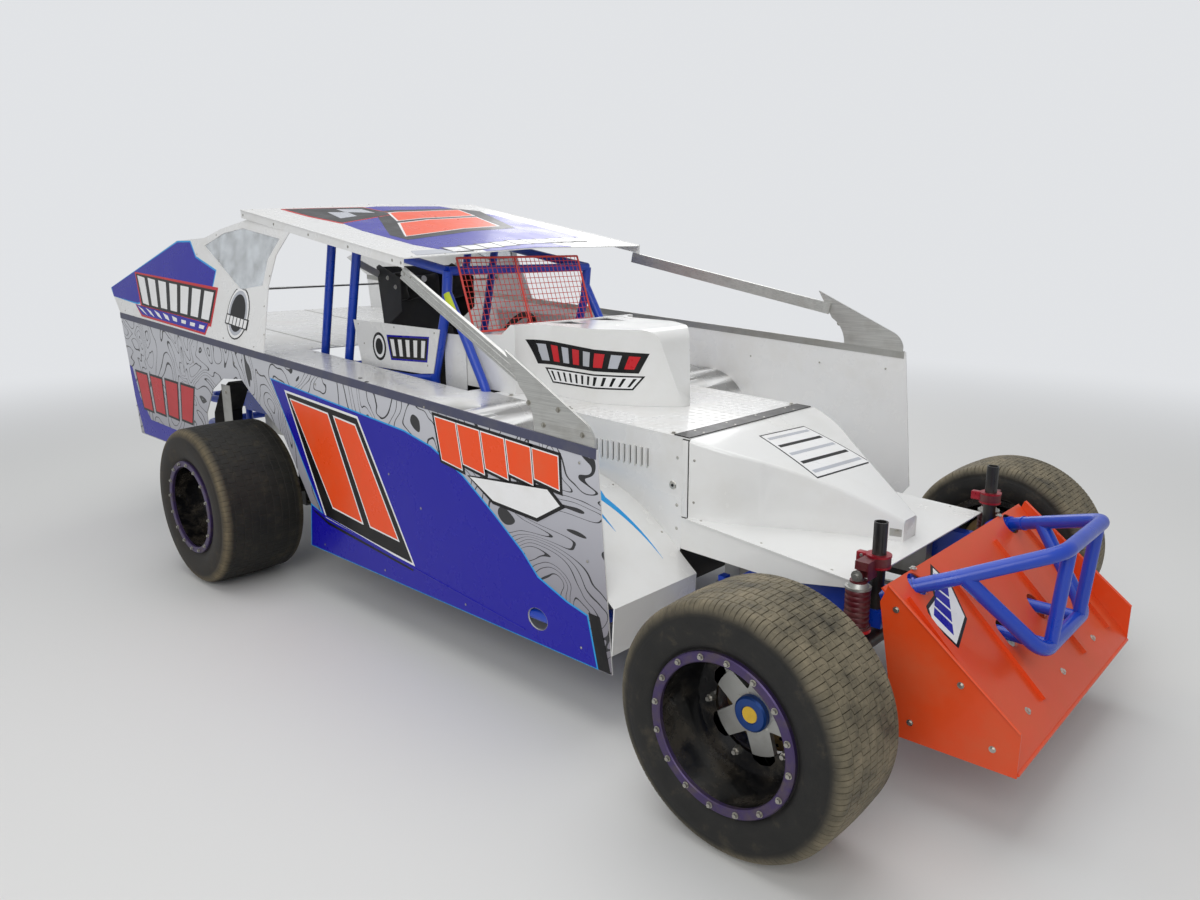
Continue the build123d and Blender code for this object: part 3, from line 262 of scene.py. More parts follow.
# %% The car's coats
COATS = {
    # name: colour, dust colour, dust, patch mm, roughness, metallic, clear coat, grain mm, grain depth
    "white_enamel": ("e9e9e8", "c9c3b6", 0.35, 240, 0.24, 0, 0.35, 6, 0.10),
    "white_gelcoat": ("ebebe9", "cdc8bc", 0.25, 300, 0.18, 0, 0.5, 9, 0.08),
    "cockpit_enamel": ("dcdcda", "b3aa98", 0.5, 180, 0.34, 0, 0.1, 6, 0.12),
    "royal_blue_vinyl": ("1812a0", "3c3a8c", 0.10, 260, 0.24, 0, 0.12, 5, 0.10),
    "light_blue_vinyl": ("1b9be0", "6aa6c8", 0.2, 120, 0.28, 0, 0.1, 5, 0.10),
    "orange_vinyl": ("f4521e", "c77c5a", 0.2, 150, 0.28, 0, 0.1, 5, 0.10),
    "red_vinyl": ("c8232c", "9a5a56", 0.2, 150, 0.28, 0, 0.1, 5, 0.10),
    "black_vinyl": ("0d0d10", "4a463e", 0.25, 120, 0.30, 0, 0.1, 5, 0.10),
    "white_vinyl": ("f0f0f0", "cfcabf", 0.25, 150, 0.28, 0, 0.1, 5, 0.10),
    "silver_vinyl": ("b9bcc4", "a09a8e", 0.25, 150, 0.35, 0, 0.1, 5, 0.10),
    "yellow_tape": ("cfe02a", "a8a860", 0.2, 60, 0.45, 0, 0.0, 3, 0.15),
    "grey_hem_vinyl": ("4b4d63", "77746c", 0.35, 120, 0.40, 0, 0.1, 5, 0.10),
    "blue_powder_coat": ("0f3fb6", "44598e", 0.18, 110, 0.28, 0, 0.2, 3, 0.16),
    "orange_powder_coat": ("e04a18", "c4714c", 0.30, 160, 0.36, 0, 0.1, 4, 0.16),
    "black_powder_coat": ("101012", "4c463c", 0.5, 90, 0.36, 0, 0.1, 3, 0.18),
    "gloss_black_rim": ("0b0b0d", "5b5346", 0.6, 80, 0.20, 0, 0.4, 4, 0.12),
    "purple_anodising": ("44365e", "5e5348", 0.75, 45, 0.36, 0.5, 0.0, 3, 0.12),
    "blue_anodising": ("123f86", "3a4654", 0.3, 50, 0.32, 0.45, 0.1, 3, 0.12),
    "red_anodising": ("9c1428", "5a3a34", 0.35, 50, 0.30, 0.5, 0.1, 3, 0.12),
    "dark_red_boot": ("5a141e", "7a5c52", 0.5, 40, 0.42, 0.1, 0.1, 3, 0.2),
    "red_wire_paint": ("cf3a30", "8a5a50", 0.35, 60, 0.38, 0, 0.1, 2, 0.15),
    "bronze_iron_rotor": ("a88d62", "4e4234", 0.6, 45, 0.42, 0.8, 0.0, 2, 0.25),
    "zinc_plate": ("a8a69e", "6f675a", 0.5, 40, 0.36, 0.9, 0.0, 2, 0.2),
    "stainless_bolt": ("c4c2bb", "7d7465", 0.4, 30, 0.30, 0.95, 0.0, 2, 0.15),
    "mill_aluminium": ("b4b4b0", "837a6a", 0.45, 120, 0.40, 0.9, 0.0, 2, 0.2),
    "cast_iron": ("4c4b4a", "5e5648", 0.5, 90, 0.62, 0.3, 0.0, 3, 0.4),
    "satin_black_seat": ("17171a", "4c463c", 0.4, 120, 0.45, 0, 0.0, 3, 0.2),
    "grip_rubber": ("141414", "3c382f", 0.4, 40, 0.72, 0, 0.0, 3, 0.4),
    "yellow_enamel": ("e0b52a", "8a743a", 0.25, 20, 0.35, 0, 0.1, 3, 0.1),
}
FINISH = {name: coat(name, *row) for name, row in COATS.items()}
print(len(FINISH), "coats")

# %% [markdown]
# ## Brushed aluminium
# The roof posts and trims are extruded aluminium, drawn and brushed along their length. That gives
# the eye long fine streaks along the car and a soft highlight across them. A noise stretched hundreds
# of times along X draws the streaks, in the roughness and, faintly, in the colour.

# %% Brushed aluminium
STREAK_MM = 1.6


def brushed_aluminium():
    """Extruded aluminium with fine streaks along the car and dull stains."""
    made, tree, shader, place = new_material("brushed_aluminium")
    stretched = add(tree, "ShaderNodeMapping", {"Vector": place, "Scale": (0.012, 1.0, 1.0)})
    streaks = add(tree, "ShaderNodeTexNoise", {"Vector": stretched.outputs[0],
                                               "Scale": per_metre(STREAK_MM), "Detail": 4.0})
    stains = add(tree, "ShaderNodeTexNoise", {"Vector": place, "Scale": per_metre(70), "Detail": 5.0})
    tone = add(tree, "ShaderNodeValToRGB", {0: streaks.outputs["Fac"]},
               stops=[(0.3, "b5b5b2"), (0.6, "d0d0cc")])
    dulled = add(tree, "ShaderNodeMapRange", {"Value": stains.outputs["Fac"], "From Min": 0.5,
                                              "From Max": 0.8, "To Min": 0.0, "To Max": 0.3})
    colour = add(tree, "ShaderNodeMix", {0: dulled.outputs[0], 6: tone.outputs[0], 7: linear("7f776a")},
                 data_type="RGBA")
    gloss = add(tree, "ShaderNodeMapRange",
                {"Value": streaks.outputs["Fac"], "To Min": 0.22, "To Max": 0.48})
    relief = add(tree, "ShaderNodeBump",
                 {"Height": streaks.outputs["Fac"], "Strength": 0.12, "Distance": RELIEF})
    give(tree, shader, {"Base Color": colour.outputs[2], "Roughness": gloss.outputs[0],
                        "Normal": relief.outputs[0], "Metallic": 0.95})
    return made


FINISH["brushed_aluminium"] = brushed_aluminium()

# %% [markdown]
# ## Polycarbonate windows
# The rear quarter windows are thin clear polycarbonate, scuffed by clay until they look grey. Light
# passes straight through a thin sheet, so transmission does the work and a veil of scratches, a noise
# in the roughness, keeps what lies behind it soft.

# %% Polycarbonate


def polycarbonate():
    """Clear thin sheet, scuffed so that what lies behind it looks soft."""
    made, tree, shader, place = new_material("scuffed_polycarbonate")
    veil = add(tree, "ShaderNodeTexNoise", {"Vector": place, "Scale": per_metre(90), "Detail": 8.0})
    gloss = add(tree, "ShaderNodeMapRange", {"Value": veil.outputs["Fac"], "From Min": 0.35,
                                             "From Max": 0.75, "To Min": 0.04, "To Max": 0.3})
    tint = add(tree, "ShaderNodeValToRGB", {0: veil.outputs["Fac"]},
               stops=[(0.35, "dfe3e6"), (0.75, "b4b6b6")])
    give(tree, shader, {"Base Color": tint.outputs[0], "Roughness": gloss.outputs[0], "IOR": 1.2,
                        "Transmission Weight": 0.86})
    return made


FINISH["scuffed_polycarbonate"] = polycarbonate()

# %% [markdown]
# ## A printed wrap
# The side panels wear a printed vinyl wrap: black lines on silver-grey, in a plain pattern like the
# contours of a map. A soft noise is cut into even steps, and each step's edge is drawn in black. The
# highest places are black pools. The grey between the lines is lighter at the top and darker towards
# the sill.

# %% Contour-line wrap
CONTOUR_MM = 330
CONTOUR_STEPS = 17
LINE_SHARE = 0.13
POOL_LEVEL = 0.645


def contour_wrap():
    """Printed vinyl with black contour lines on silver-grey."""
    made, tree, shader, place = new_material("printed_contour_wrap")
    hills = add(tree, "ShaderNodeTexNoise", {"Vector": place, "Scale": per_metre(CONTOUR_MM), "Detail": 1.6,
                                             "Roughness": 0.5, "Distortion": 0.9})
    steps = add(tree, "ShaderNodeMath", {0: hills.outputs["Fac"], 1: float(CONTOUR_STEPS)},
                operation="MULTIPLY")
    within = add(tree, "ShaderNodeMath", {0: steps.outputs[0]}, operation="FRACT")
    line = add(tree, "ShaderNodeMath", {0: within.outputs[0], 1: LINE_SHARE}, operation="LESS_THAN")
    pools = add(tree, "ShaderNodeMath", {0: hills.outputs["Fac"], 1: POOL_LEVEL},
                operation="GREATER_THAN")
    ink = add(tree, "ShaderNodeMath", {0: line.outputs[0], 1: pools.outputs[0]}, operation="MAXIMUM")
    axes = add(tree, "ShaderNodeSeparateXYZ", {0: place})
    ground = add(tree, "ShaderNodeMapRange",
                 {"Value": axes.outputs["Z"], "From Min": 0.25, "From Max": 0.95})
    paper = add(tree, "ShaderNodeValToRGB", {0: ground.outputs[0]},
                stops=[(0.0, "77737c"), (0.55, "aeaeb6"), (1.0, "c6c7cd")])
    colour = add(tree, "ShaderNodeMix", {0: ink.outputs[0], 6: paper.outputs[0], 7: linear("16161a")},
                 data_type="RGBA")
    dust = add(tree, "ShaderNodeTexNoise", {"Vector": place, "Scale": per_metre(200), "Detail": 6.0})
    gloss = add(tree, "ShaderNodeMapRange", {"Value": dust.outputs["Fac"], "To Min": 0.2, "To Max": 0.5})
    give(tree, shader, {"Base Color": colour.outputs[2], "Roughness": gloss.outputs[0],
                        "Coat Weight": 0.3})
    return made


FINISH["printed_contour_wrap"] = contour_wrap()

# %% [markdown]
# ## Tyre rubber
# The front tyres ran on clay: their tread is khaki with dried dust, darker in worn blotches. The
# sidewall stays black and greasy with brown smears. On every tyre the cuts are darkened with painted
# shade. The tyre's own mesh carries two values for this: how much a point belongs to the tread, and
# how deep in a cut it lies.

# %% Rubber with clay on it


def tyre_rubber(name, tread_stops, wall_stops, shoulder_hex, shoulder):
    """Rubber whose colour goes from the sidewall's to the tread's by the tyre's own values."""
    made, tree, shader, place = new_material(name)
    tread = add(tree, "ShaderNodeAttribute", attribute_name="tread")
    cut = add(tree, "ShaderNodeAttribute", attribute_name="cut")
    blotch = add(tree, "ShaderNodeTexNoise", {"Vector": place, "Scale": per_metre(75), "Detail": 9.0,
                                              "Roughness": 0.7})
    clay = add(tree, "ShaderNodeValToRGB", {0: blotch.outputs["Fac"]}, stops=tread_stops)
    grease = add(tree, "ShaderNodeValToRGB", {0: blotch.outputs["Fac"]}, stops=wall_stops)
    rub = add(tree, "ShaderNodeMapRange",
              {"Value": tread.outputs["Fac"], "From Min": 0.25, "From Max": 0.75})
    body = add(tree, "ShaderNodeMix", {0: rub.outputs[0], 6: grease.outputs[0], 7: clay.outputs[0]},
               data_type="RGBA")
    near = add(tree, "ShaderNodeMath", {0: tread.outputs["Fac"], 1: 0.55}, operation="SUBTRACT")
    far = add(tree, "ShaderNodeMath", {0: near.outputs[0]}, operation="ABSOLUTE")
    band = add(tree, "ShaderNodeMapRange", {"Value": far.outputs[0], "From Min": 0.0, "From Max": 0.42,
                                            "To Min": shoulder, "To Max": 0.0})
    broken = add(tree, "ShaderNodeMath", {0: band.outputs[0], 1: blotch.outputs["Fac"]},
                 operation="MULTIPLY")
    ringed = add(tree, "ShaderNodeMix",
                 {0: broken.outputs[0], 6: body.outputs[2], 7: linear(shoulder_hex)}, data_type="RGBA")
    # Painted shade: a point deep in a cut is darkened towards dark brown, on front and rear tyres alike.
    shadow = add(tree, "ShaderNodeMath", {0: cut.outputs["Fac"], 1: 0.6}, operation="MULTIPLY")
    colour = add(tree, "ShaderNodeMix", {0: shadow.outputs[0], 6: ringed.outputs[2], 7: linear("2a251d")},
                 data_type="RGBA")
    grit = add(tree, "ShaderNodeTexNoise", {"Vector": place, "Scale": per_metre(3), "Detail": 3.0})
    relief = add(tree, "ShaderNodeBump",
                 {"Height": grit.outputs["Fac"], "Strength": 0.35, "Distance": RELIEF})
    gloss = add(tree, "ShaderNodeMapRange",
                {"Value": blotch.outputs["Fac"], "To Min": 0.4, "To Max": 0.9})
    give(tree, shader, {"Base Color": colour.outputs[2], "Roughness": gloss.outputs[0],
                        "Normal": relief.outputs[0], "Specular IOR Level": 0.35})
    return made


FINISH["clay_tread_rubber"] = tyre_rubber(
    "clay_tread_rubber", [(0.3, "3d392f"), (0.5, "6f6754"), (0.7, "8b806a")],
    [(0.3, "0f0f0e"), (0.55, "201f1d"), (0.75, "453f34")], "7d745f", 0.5)
FINISH["slick_rubber"] = tyre_rubber(
    "slick_rubber", [(0.3, "151513"), (0.55, "24231f"), (0.8, "4a4334")],
    [(0.3, "1a1917"), (0.55, "302c27"), (0.75, "4a4338")], "8a7c60", 1.0)

# %% [markdown]
# ## Finishes for the solids
# Each solid names its material slot in the record. The slot gives its coat here, so that a solid
# that stays in view is finished like the pieces beside it.

# %% Give every solid its coat
SLOT_FINISH = {
    "tyre_rubber": "slick_rubber", "rim_black": "gloss_black_rim", "body_white": "white_enamel",
    "body_blue": "white_enamel", "cockpit_white": "cockpit_enamel", "clear_window": "scuffed_polycarbonate",
    "frame_blue": "blue_powder_coat", "shovel_orange": "orange_powder_coat",
    "bright_aluminium": "brushed_aluminium", "plain_aluminium": "mill_aluminium",
    "dark_steel": "black_powder_coat", "plated_steel": "zinc_plate", "engine_iron": "cast_iron",
    "shock_red": "dark_red_boot", "screen_red": "red_wire_paint", "seat_black": "satin_black_seat",
    "wheel_grip": "grip_rubber",
}
OWN_FINISH = {"hood_scoop": "white_gelcoat", "nose": "white_gelcoat", "side_pods": "white_gelcoat"}
for part in frame["record"]["subparts"]:
    node = frame["nodes"][part["node"]]
    node.data.materials.clear()
    node.data.materials.append(FINISH[OWN_FINISH.get(part["node"], SLOT_FINISH[part["material_slot"]])])
    shade(node)

# %% [markdown]
# ## Shapes and pieces
# Every new shape starts from an operator of bmesh: a spun section, an extruded outline, a cone or a
# cube. A shape is put into its piece once or at many places, in a finish given by its name. A
# finished piece keeps only the finishes it uses, sits at the origin with its place in its mesh, and
# rides on a body of the frame.

# %% Put shapes into pieces


def mesh_of(shape, name):
    """Turns a bmesh into a mesh and frees it."""
    mesh = bpy.data.meshes.new(name)
    shape.to_mesh(mesh)
    shape.free()
    return mesh


def put_in(whole, shape, finish, places=(Matrix(),)):
    """Adds a shape to a piece at each place, in a named finish, and frees the shape."""
    bmesh.ops.recalc_face_normals(shape, faces=shape.faces)
    number = list(FINISH).index(finish)
    for face in shape.faces:
        face.material_index = number
    mesh = mesh_of(shape, "shape")
    for place in places:
        copy = mesh.copy()
        copy.transform(place)
        whole.from_mesh(copy)
        bpy.data.meshes.remove(copy)
    bpy.data.meshes.remove(mesh)


def dressed(name, mesh, finishes, body, replaced=()):
    """Makes a piece of a mesh and its finishes, riding on its body."""
    for finish in finishes:
        mesh.materials.append(FINISH[finish])
    piece = new_object(name, mesh)
    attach(piece, body)
    if replaced:
        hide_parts(*replaced)
    shade(piece)
    print(name, len(mesh.polygons), "faces")


def finished(name, whole, body, replaced=()):
    """Turns a bmesh into a piece that carries the finishes its faces use, and no others."""
    names = list(FINISH)
    used = sorted({face.material_index for face in whole.faces})
    for face in whole.faces:
        face.material_index = used.index(face.material_index)
    mesh = mesh_of(whole, name)
    dressed(name, mesh, [names[number] for number in used], body, replaced)


# %% Shapes to start from


def corners_in(geometry):
    """The vertices among what an operator gave back."""
    return [part for part in geometry if isinstance(part, bmesh.types.BMVert)]


def spun(section, steps=64):
    """A closed section of (radius, distance along Y) points, spun about the Y axis."""
    shape = bmesh.new()
    corners = [shape.verts.new((radius, along, 0)) for radius, along in section]
    edges = [shape.edges.new(pair) for pair in zip(corners, corners[1:] + corners[:1])]
    bmesh.ops.spin(shape, geom=corners + edges, cent=(0, 0, 0), axis=(0, 1, 0), angle=math.tau,
                   steps=steps, use_merge=True)
    bmesh.ops.remove_doubles(shape, verts=shape.verts, dist=0.00001)
    return shape


def slab(outline, thick, rounding=0.0):
    """An outline in X and Y, raised by its thickness, its corners rounded."""
    shape = bmesh.new()
    shape.faces.new([shape.verts.new((x, y, 0)) for x, y in outline])
    if rounding:
        bmesh.ops.bevel(shape, geom=shape.verts[:], offset=rounding, segments=4, affect="VERTICES", profile=0.5,
                        material=-1)
    raised = bmesh.ops.extrude_face_region(shape, geom=shape.faces[:])["geom"]
    bmesh.ops.translate(shape, verts=corners_in(raised), vec=(0, 0, thick))
    return shape


def stub(radius, height, sides=16, top=1.0):
    """A short round or six-sided stub standing on the origin, its top narrowed to a share."""
    shape = bmesh.new()
    bmesh.ops.create_cone(shape, cap_ends=True, segments=sides, radius1=radius, radius2=radius * top,
                          depth=height)
    bmesh.ops.translate(shape, verts=shape.verts, vec=(0, 0, height / 2))
    return shape


def brick(low, high, rounding=0.0):
    """A box between two corners, its edges rounded."""
    shape = bmesh.new()
    bmesh.ops.create_cube(shape, size=1)
    size = Vector(high) - Vector(low)
    bmesh.ops.scale(shape, verts=shape.verts, vec=[abs(c) for c in size])
    bmesh.ops.translate(shape, verts=shape.verts, vec=(Vector(low) + Vector(high)) / 2)
    if rounding:
        bmesh.ops.bevel(shape, geom=shape.edges[:], offset=rounding, segments=2, affect="EDGES", profile=0.5,
                        material=-1)
    return shape


def facing(at, outward, turn=0.0):
    """A place whose own Z points outward, turned about it."""
    aim = Vector(outward).to_track_quat("Z", "Y").to_matrix().to_4x4()
    return Matrix.Translation(at) @ aim @ Matrix.Rotation(turn, 4, "Z")


def swept(section, path, outward):
    """A section of (outward, across) points carried along a path of points."""
    frames = []
    for i, point in enumerate(path):
        ahead = (path[min(i + 1, len(path) - 1)] - path[max(i - 1, 0)]).normalized()
        across = ahead.cross(outward).normalized()
        turn = Matrix((across.cross(ahead), across, ahead)).transposed().to_4x4()
        frames.append(Matrix.Translation(point) @ turn)
    shape = bmesh.new()
    end = shape.faces.new([shape.verts.new(frames[0] @ Vector((a, b, 0))) for a, b in section])
    for before, after in zip(frames, frames[1:]):
        pushed = bmesh.ops.extrude_face_region(shape, geom=[end])["geom"]
        bmesh.ops.transform(shape, matrix=after @ before.inverted(), verts=corners_in(pushed))
        end = [part for part in pushed if isinstance(part, bmesh.types.BMFace)][0]
    return shape


def rod(path, radius, sides, outward):
    """A round bar along a path of points."""
    section = [(radius * math.cos(i * math.tau / sides), radius * math.sin(i * math.tau / sides))
               for i in range(sides)]
    return swept(section, path, outward)


def strip(path, thick, low, high, outward, sink=0.0):
    """A flat strip along a path: its thickness outward, its width from low to high across."""
    return swept([(thick, low), (thick, high), (-sink, high), (-sink, low)], path, outward)


# %% [markdown]
# ## Tyres
# A racing tyre is a wide soft ring, nearly flat across. Its section goes from the tread's crown over
# a tight shoulder down a bulged wall to the bead. The section is spun in many fine steps, and then
# each point of the tread is pushed in where a cut runs. Steps and rows crowd beside the cuts, so that
# the cuts stay thin without a finer mesh between them. The fronts have scalloped rows of
# blocks, half a block out of step from row to row; the rears are slicks with fine shallow cuts.

# %% Arcs and the section of a tyre
BEAD_R = 0.190
RING_R = 0.208
BULGE = 0.014
SHOULDER = 0.042
SHOULDER_IN = 0.004
CROWN = 0.004
WALL_RIBS = (1, 12)
RIB = 0.001
ROWS = 8
ROW_SHARES = (0.0, 0.05, 0.27, 0.5, 0.73, 0.95)
BLOCK_SHARES = (0.0, 0.05, 0.25, 0.45, 0.5, 0.55, 0.75, 0.95)
CUT_SHARE = 0.05


def arc(a, b, c, count):
    """Points on the circle through three points, from the first up to but without the last."""
    a, b, c = (complex(*p) for p in (a, b, c))
    ratio = (c - a) / (b - a)
    centre = a + (b - a) * (ratio - abs(ratio) ** 2) / (2j * ratio.imag)
    whole = cmath.phase((c - centre) / (a - centre))
    part = cmath.phase((b - centre) / (a - centre))
    if part * whole < 0 or abs(part) > abs(whole):
        whole -= math.copysign(math.tau, whole)
    points = [centre + (a - centre) * cmath.exp(1j * whole * i / count) for i in range(count)]
    return [(p.real, p.imag) for p in points]


def tyre_section(radius, half, row_width):
    """Half a section from crown to bead: (radius, distance out, how much it is tread)."""
    flat = half - SHOULDER
    bead = half - BULGE
    wall_r = (BEAD_R + radius - SHOULDER) / 2
    foot = (radius - SHOULDER, half - SHOULDER_IN)
    places = [(row + share) * row_width for row in range(ROWS) for share in ROW_SHARES]
    section = [(radius - CROWN * (y / flat) ** 2, y, 1.0) for y in places if y < flat - 0.001]
    shoulder = arc((radius - CROWN, flat), (radius - 0.011, half - 0.017), foot, 12)
    section += [(r, y, 1 - i / 14) for i, (r, y) in enumerate(shoulder)]
    wall = arc(foot, (wall_r, half), (RING_R + 0.003, bead), 14)
    section += [(r, y + (RIB if i in WALL_RIBS else 0), 0.12 - i / 120) for i, (r, y) in enumerate(wall)]
    return section + [(RING_R + 0.003, bead, 0.0), (BEAD_R, bead, 0.0)]


# %% Cuts in the tread
TREADS = {
    # row width, block length, scallop and depth, in metres
    "front": (0.034, 0.032, 0.0045, 0.0032),
    "rear": (0.034, 0.046, 0.0, 0.0016),
}
SIPE_FROM, SIPE_TO = 0.3, 0.8
SIPE_DEPTH = 0.6
TREAD_EDGE = 0.35


def cut_depth(row, along):
    """How deep a point lies in a cut, from 0 to 1, by its rows from the middle and its share of a block."""
    beside = min(row % 1, 1 - row % 1)
    step = (along + 0.5 * (int(row) % 2)) % 1
    before = min(step, 1 - step)
    sipe = abs(step - 0.5) if SIPE_FROM < row % 1 < SIPE_TO else 1
    return max(0.0, 1 - beside / CUT_SHARE, 1 - before / CUT_SHARE, SIPE_DEPTH - sipe / CUT_SHARE)


def tyre_mesh(node, tread):
    """A tyre about the Y axis, outward along +Y, with its tread and cut values."""
    low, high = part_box(node)
    radius, half = (high.z - low.z) / 2, (high.y - low.y) / 2
    row_width, block, scallop, depth = TREADS[tread]
    blocks = 2 * round(math.pi * radius / block)
    steps = blocks * len(BLOCK_SHARES)
    flat = half - SHOULDER
    half_section = tyre_section(radius, half, row_width)
    section = [(r, -y, t) for r, y, t in half_section[:0:-1]] + half_section
    shape = bmesh.new()
    is_tread = shape.verts.layers.float.new("tread")
    in_cut = shape.verts.layers.float.new("cut")
    corners = []
    for r, y, t in section:
        corner = shape.verts.new((r, y, 0))
        corner[is_tread] = t
        corners.append(corner)
    edges = [shape.edges.new(pair) for pair in zip(corners, corners[1:] + corners[:1])]
    bmesh.ops.spin(shape, geom=corners + edges, cent=(0, 0, 0), axis=(0, 1, 0), angle=math.tau,
                   steps=steps, use_merge=True)
    for corner in shape.verts:
        x, y, z = corner.co
        step = round(math.atan2(z, x) / math.tau * steps) % steps
        number, along = step // len(BLOCK_SHARES), BLOCK_SHARES[step % len(BLOCK_SHARES)]
        distance = math.hypot(x, z)
        if corner[is_tread] > TREAD_EDGE:
            on_flat = abs(y) < flat
            cut = cut_depth(abs(y) / row_width if on_flat else int(flat / row_width) + 0.5, along)
            corner[in_cut] = cut
            distance -= depth * cut
            if on_flat:
                ease = min(1.0, abs(y) / 0.01, (flat - abs(y)) / 0.02)
                corner.co.y -= math.copysign(scallop * math.sin(math.pi * along) * ease, y)
        angle = (number + along) / blocks * math.tau
        corner.co.x = distance * math.cos(angle)
        corner.co.z = distance * math.sin(angle)
    bmesh.ops.recalc_face_normals(shape, faces=shape.faces)
    return mesh_of(shape, f"{tread}_tyre")


# %% Four tyres on their wheels
CORNERS = [(end, hand, side) for end in ("front", "rear") for hand, side in HANDS]
RUBBER = {"front": "clay_tread_rubber", "rear": "slick_rubber"}


def at_wheel(node, side):
    """The place of a wheel: its own +Y turned to face outward."""
    turn = Matrix.Rotation(math.pi, 4, "Z") if side == RIGHT else Matrix()
    return Matrix.Translation(middle(node)) @ turn


treaded = {end: tyre_mesh(f"tyre_{end}_right", end) for end in RUBBER}
for end, hand, side in CORNERS:
    solid = f"tyre_{end}_{hand}"
    mesh = treaded[end].copy()
    mesh.transform(at_wheel(solid, side))
    dressed(f"treaded_{solid}", mesh, [RUBBER[end]], f"{end}_{hand}_wheel", [solid])

# %% [markdown]
# ## Wheels
# A wide spun steel rim, black inside and out, with a purple anodised ring bolted on that clamps the
# tyre's bead. Deep inside sits a silver hub star with five arms, a bronze rotor behind it and a blue
# cap. Everything round is a spun section; bolts are one shape put at many places.

# %% A dressed wheel
WHEEL_STEPS = 112
HUB_DEPTH = 0.148
STAR_ARMS = 5
STAR_ARM = ((-36, 0.060), (-15, 0.128), (-6, 0.139), (6, 0.139), (15, 0.128))
RING_BOLTS = 16
BOLT_TURN = 0.1
ROTOR_R = 0.128


def around(count, radius, height, first=0.0):
    """Places on a circle about the Y axis, each facing outward along +Y."""
    places = []
    for i in range(count):
        angle = first + i * math.tau / count
        at = (radius * math.cos(angle), height, radius * math.sin(angle))
        places.append(facing(at, (0, 1, 0), angle))
    return places


def wheel_shape(half):
    """Rim, bead ring with bolts, hub star, rotor and cap about the Y axis, outward along +Y."""
    bead = half - BULGE
    seat = BEAD_R - 0.0003
    bore, well = seat - 0.007, seat - 0.019
    face = bead - HUB_DEPTH
    flange = face + 0.012
    whole = bmesh.new()
    rim = [(seat, -bead), (RING_R - 0.003, -bead), (RING_R, -bead - 0.004), (RING_R - 0.002, -bead - 0.010),
           (bore, -bead - 0.008), (bore - 0.002, -bead + 0.036), (well, -bead + 0.066), (well, flange - 0.030),
           (0.125, face), (0.115, face + 0.002), (0.115, flange), (well, flange), (bore, flange + 0.025),
           (bore, bead), (RING_R - 0.004, bead), (seat, bead - 0.002), (seat, flange + 0.022),
           (well + 0.007, flange - 0.003), (well + 0.007, -bead + 0.070), (seat, -bead + 0.040)]
    ring = [(bore - 0.001, bead + 0.0005), (bore - 0.001, bead + 0.011), (bore + 0.002, bead + 0.0135),
            (RING_R - 0.003, bead + 0.014), (RING_R, bead + 0.011), (RING_R, bead + 0.0005)]
    hub = [(0.0205, face - 0.120), (0.0205, face), (0.001, face), (0.001, face + 0.010), (0.052, face + 0.010),
           (0.055, face + 0.006), (0.055, face - 0.120)]
    rotor = [(0.056, face - 0.052), (0.070, face - 0.056), (0.078, face - 0.052), (ROTOR_R - 0.002, face - 0.052),
             (ROTOR_R, face - 0.054), (ROTOR_R, face - 0.070), (ROTOR_R - 0.002, face - 0.072),
             (0.056, face - 0.072)]
    cap = [(0.001, face + 0.010), (0.001, face + 0.027), (0.022, face + 0.0285), (0.024, face + 0.031),
           (0.042, face + 0.030), (0.047, face + 0.025), (0.048, face + 0.010)]
    star = []
    for i in range(STAR_ARMS):
        for turn, reach in STAR_ARM:
            angle = math.radians(turn + i * 360 / STAR_ARMS)
            star.append((reach * math.cos(angle), reach * math.sin(angle)))
    circle = (bore + RING_R) / 2
    nuts = around(STAR_ARMS, 0.124, face + 0.0115)
    for shape, finish, places in (
            (spun(rim, WHEEL_STEPS), "gloss_black_rim", None),
            (spun(ring, WHEEL_STEPS), "purple_anodising", None),
            (stub(0.0085, 0.0015, 14), "zinc_plate", around(RING_BOLTS, circle, bead + 0.0138, BOLT_TURN)),
            (stub(0.0065, 0.0062, 6, 0.9), "zinc_plate", around(RING_BOLTS, circle, bead + 0.0150, BOLT_TURN)),
            (slab(star, 0.014, 0.004), "mill_aluminium", [facing((0, face - 0.002, 0), (0, 1, 0))]),
            (spun(hub, 48), "mill_aluminium", None),
            (spun(rotor, 72), "bronze_iron_rotor", None),
            (stub(0.0045, 0.0006, 10), "gloss_black_rim", around(20, 0.112, face - 0.0521)),
            (stub(0.0045, 0.0006, 10), "gloss_black_rim", around(20, 0.096, face - 0.0521, 0.15)),
            (spun(cap, 48), "blue_anodising", None),
            (stub(0.0225, 0.0025, 40, 0.94), "yellow_enamel", [facing((0, face + 0.0272, 0), (0, 1, 0))]),
            (stub(0.0035, 0.004, 8), "stainless_bolt", around(10, 0.0515, face + 0.009)),
            (stub(0.0125, 0.016, 6, 0.8), "stainless_bolt", nuts),
            (stub(0.0060, 0.026, 10), "stainless_bolt", nuts),
            (stub(0.0042, 0.030, 10, 0.7), "grip_rubber",
             [facing((bore - 0.012, bead - 0.02, 0.02), (-1, 0.6, 0))])):
        put_in(whole, shape, finish, places or [Matrix()])
    return whole


for end, hand, side in CORNERS:
    low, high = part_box(f"tyre_{end}_{hand}")
    whole = wheel_shape((high.y - low.y) / 2)
    bmesh.ops.transform(whole, matrix=at_wheel(f"tyre_{end}_{hand}", side), verts=whole.verts)
    finished(f"beadlock_wheel_{end}_{hand}", whole, f"{end}_{hand}_wheel", [f"wheel_{end}_{hand}"])

# %% [markdown]
# ## Vinyl on the sheets
# Race cars wear cut vinyl: flat colour, laid over the sheets in layers. Painting it into a material
# would need an image, so each shape is real geometry, thinner than a card, laid on the solid that
# carries it. A ray finds the surface under each corner, so the vinyl follows a crown or a lean.

# %% Lay an outline on a solid
VINYL = 0.0004
NEAR_MISS = 1.2
TREES = {}


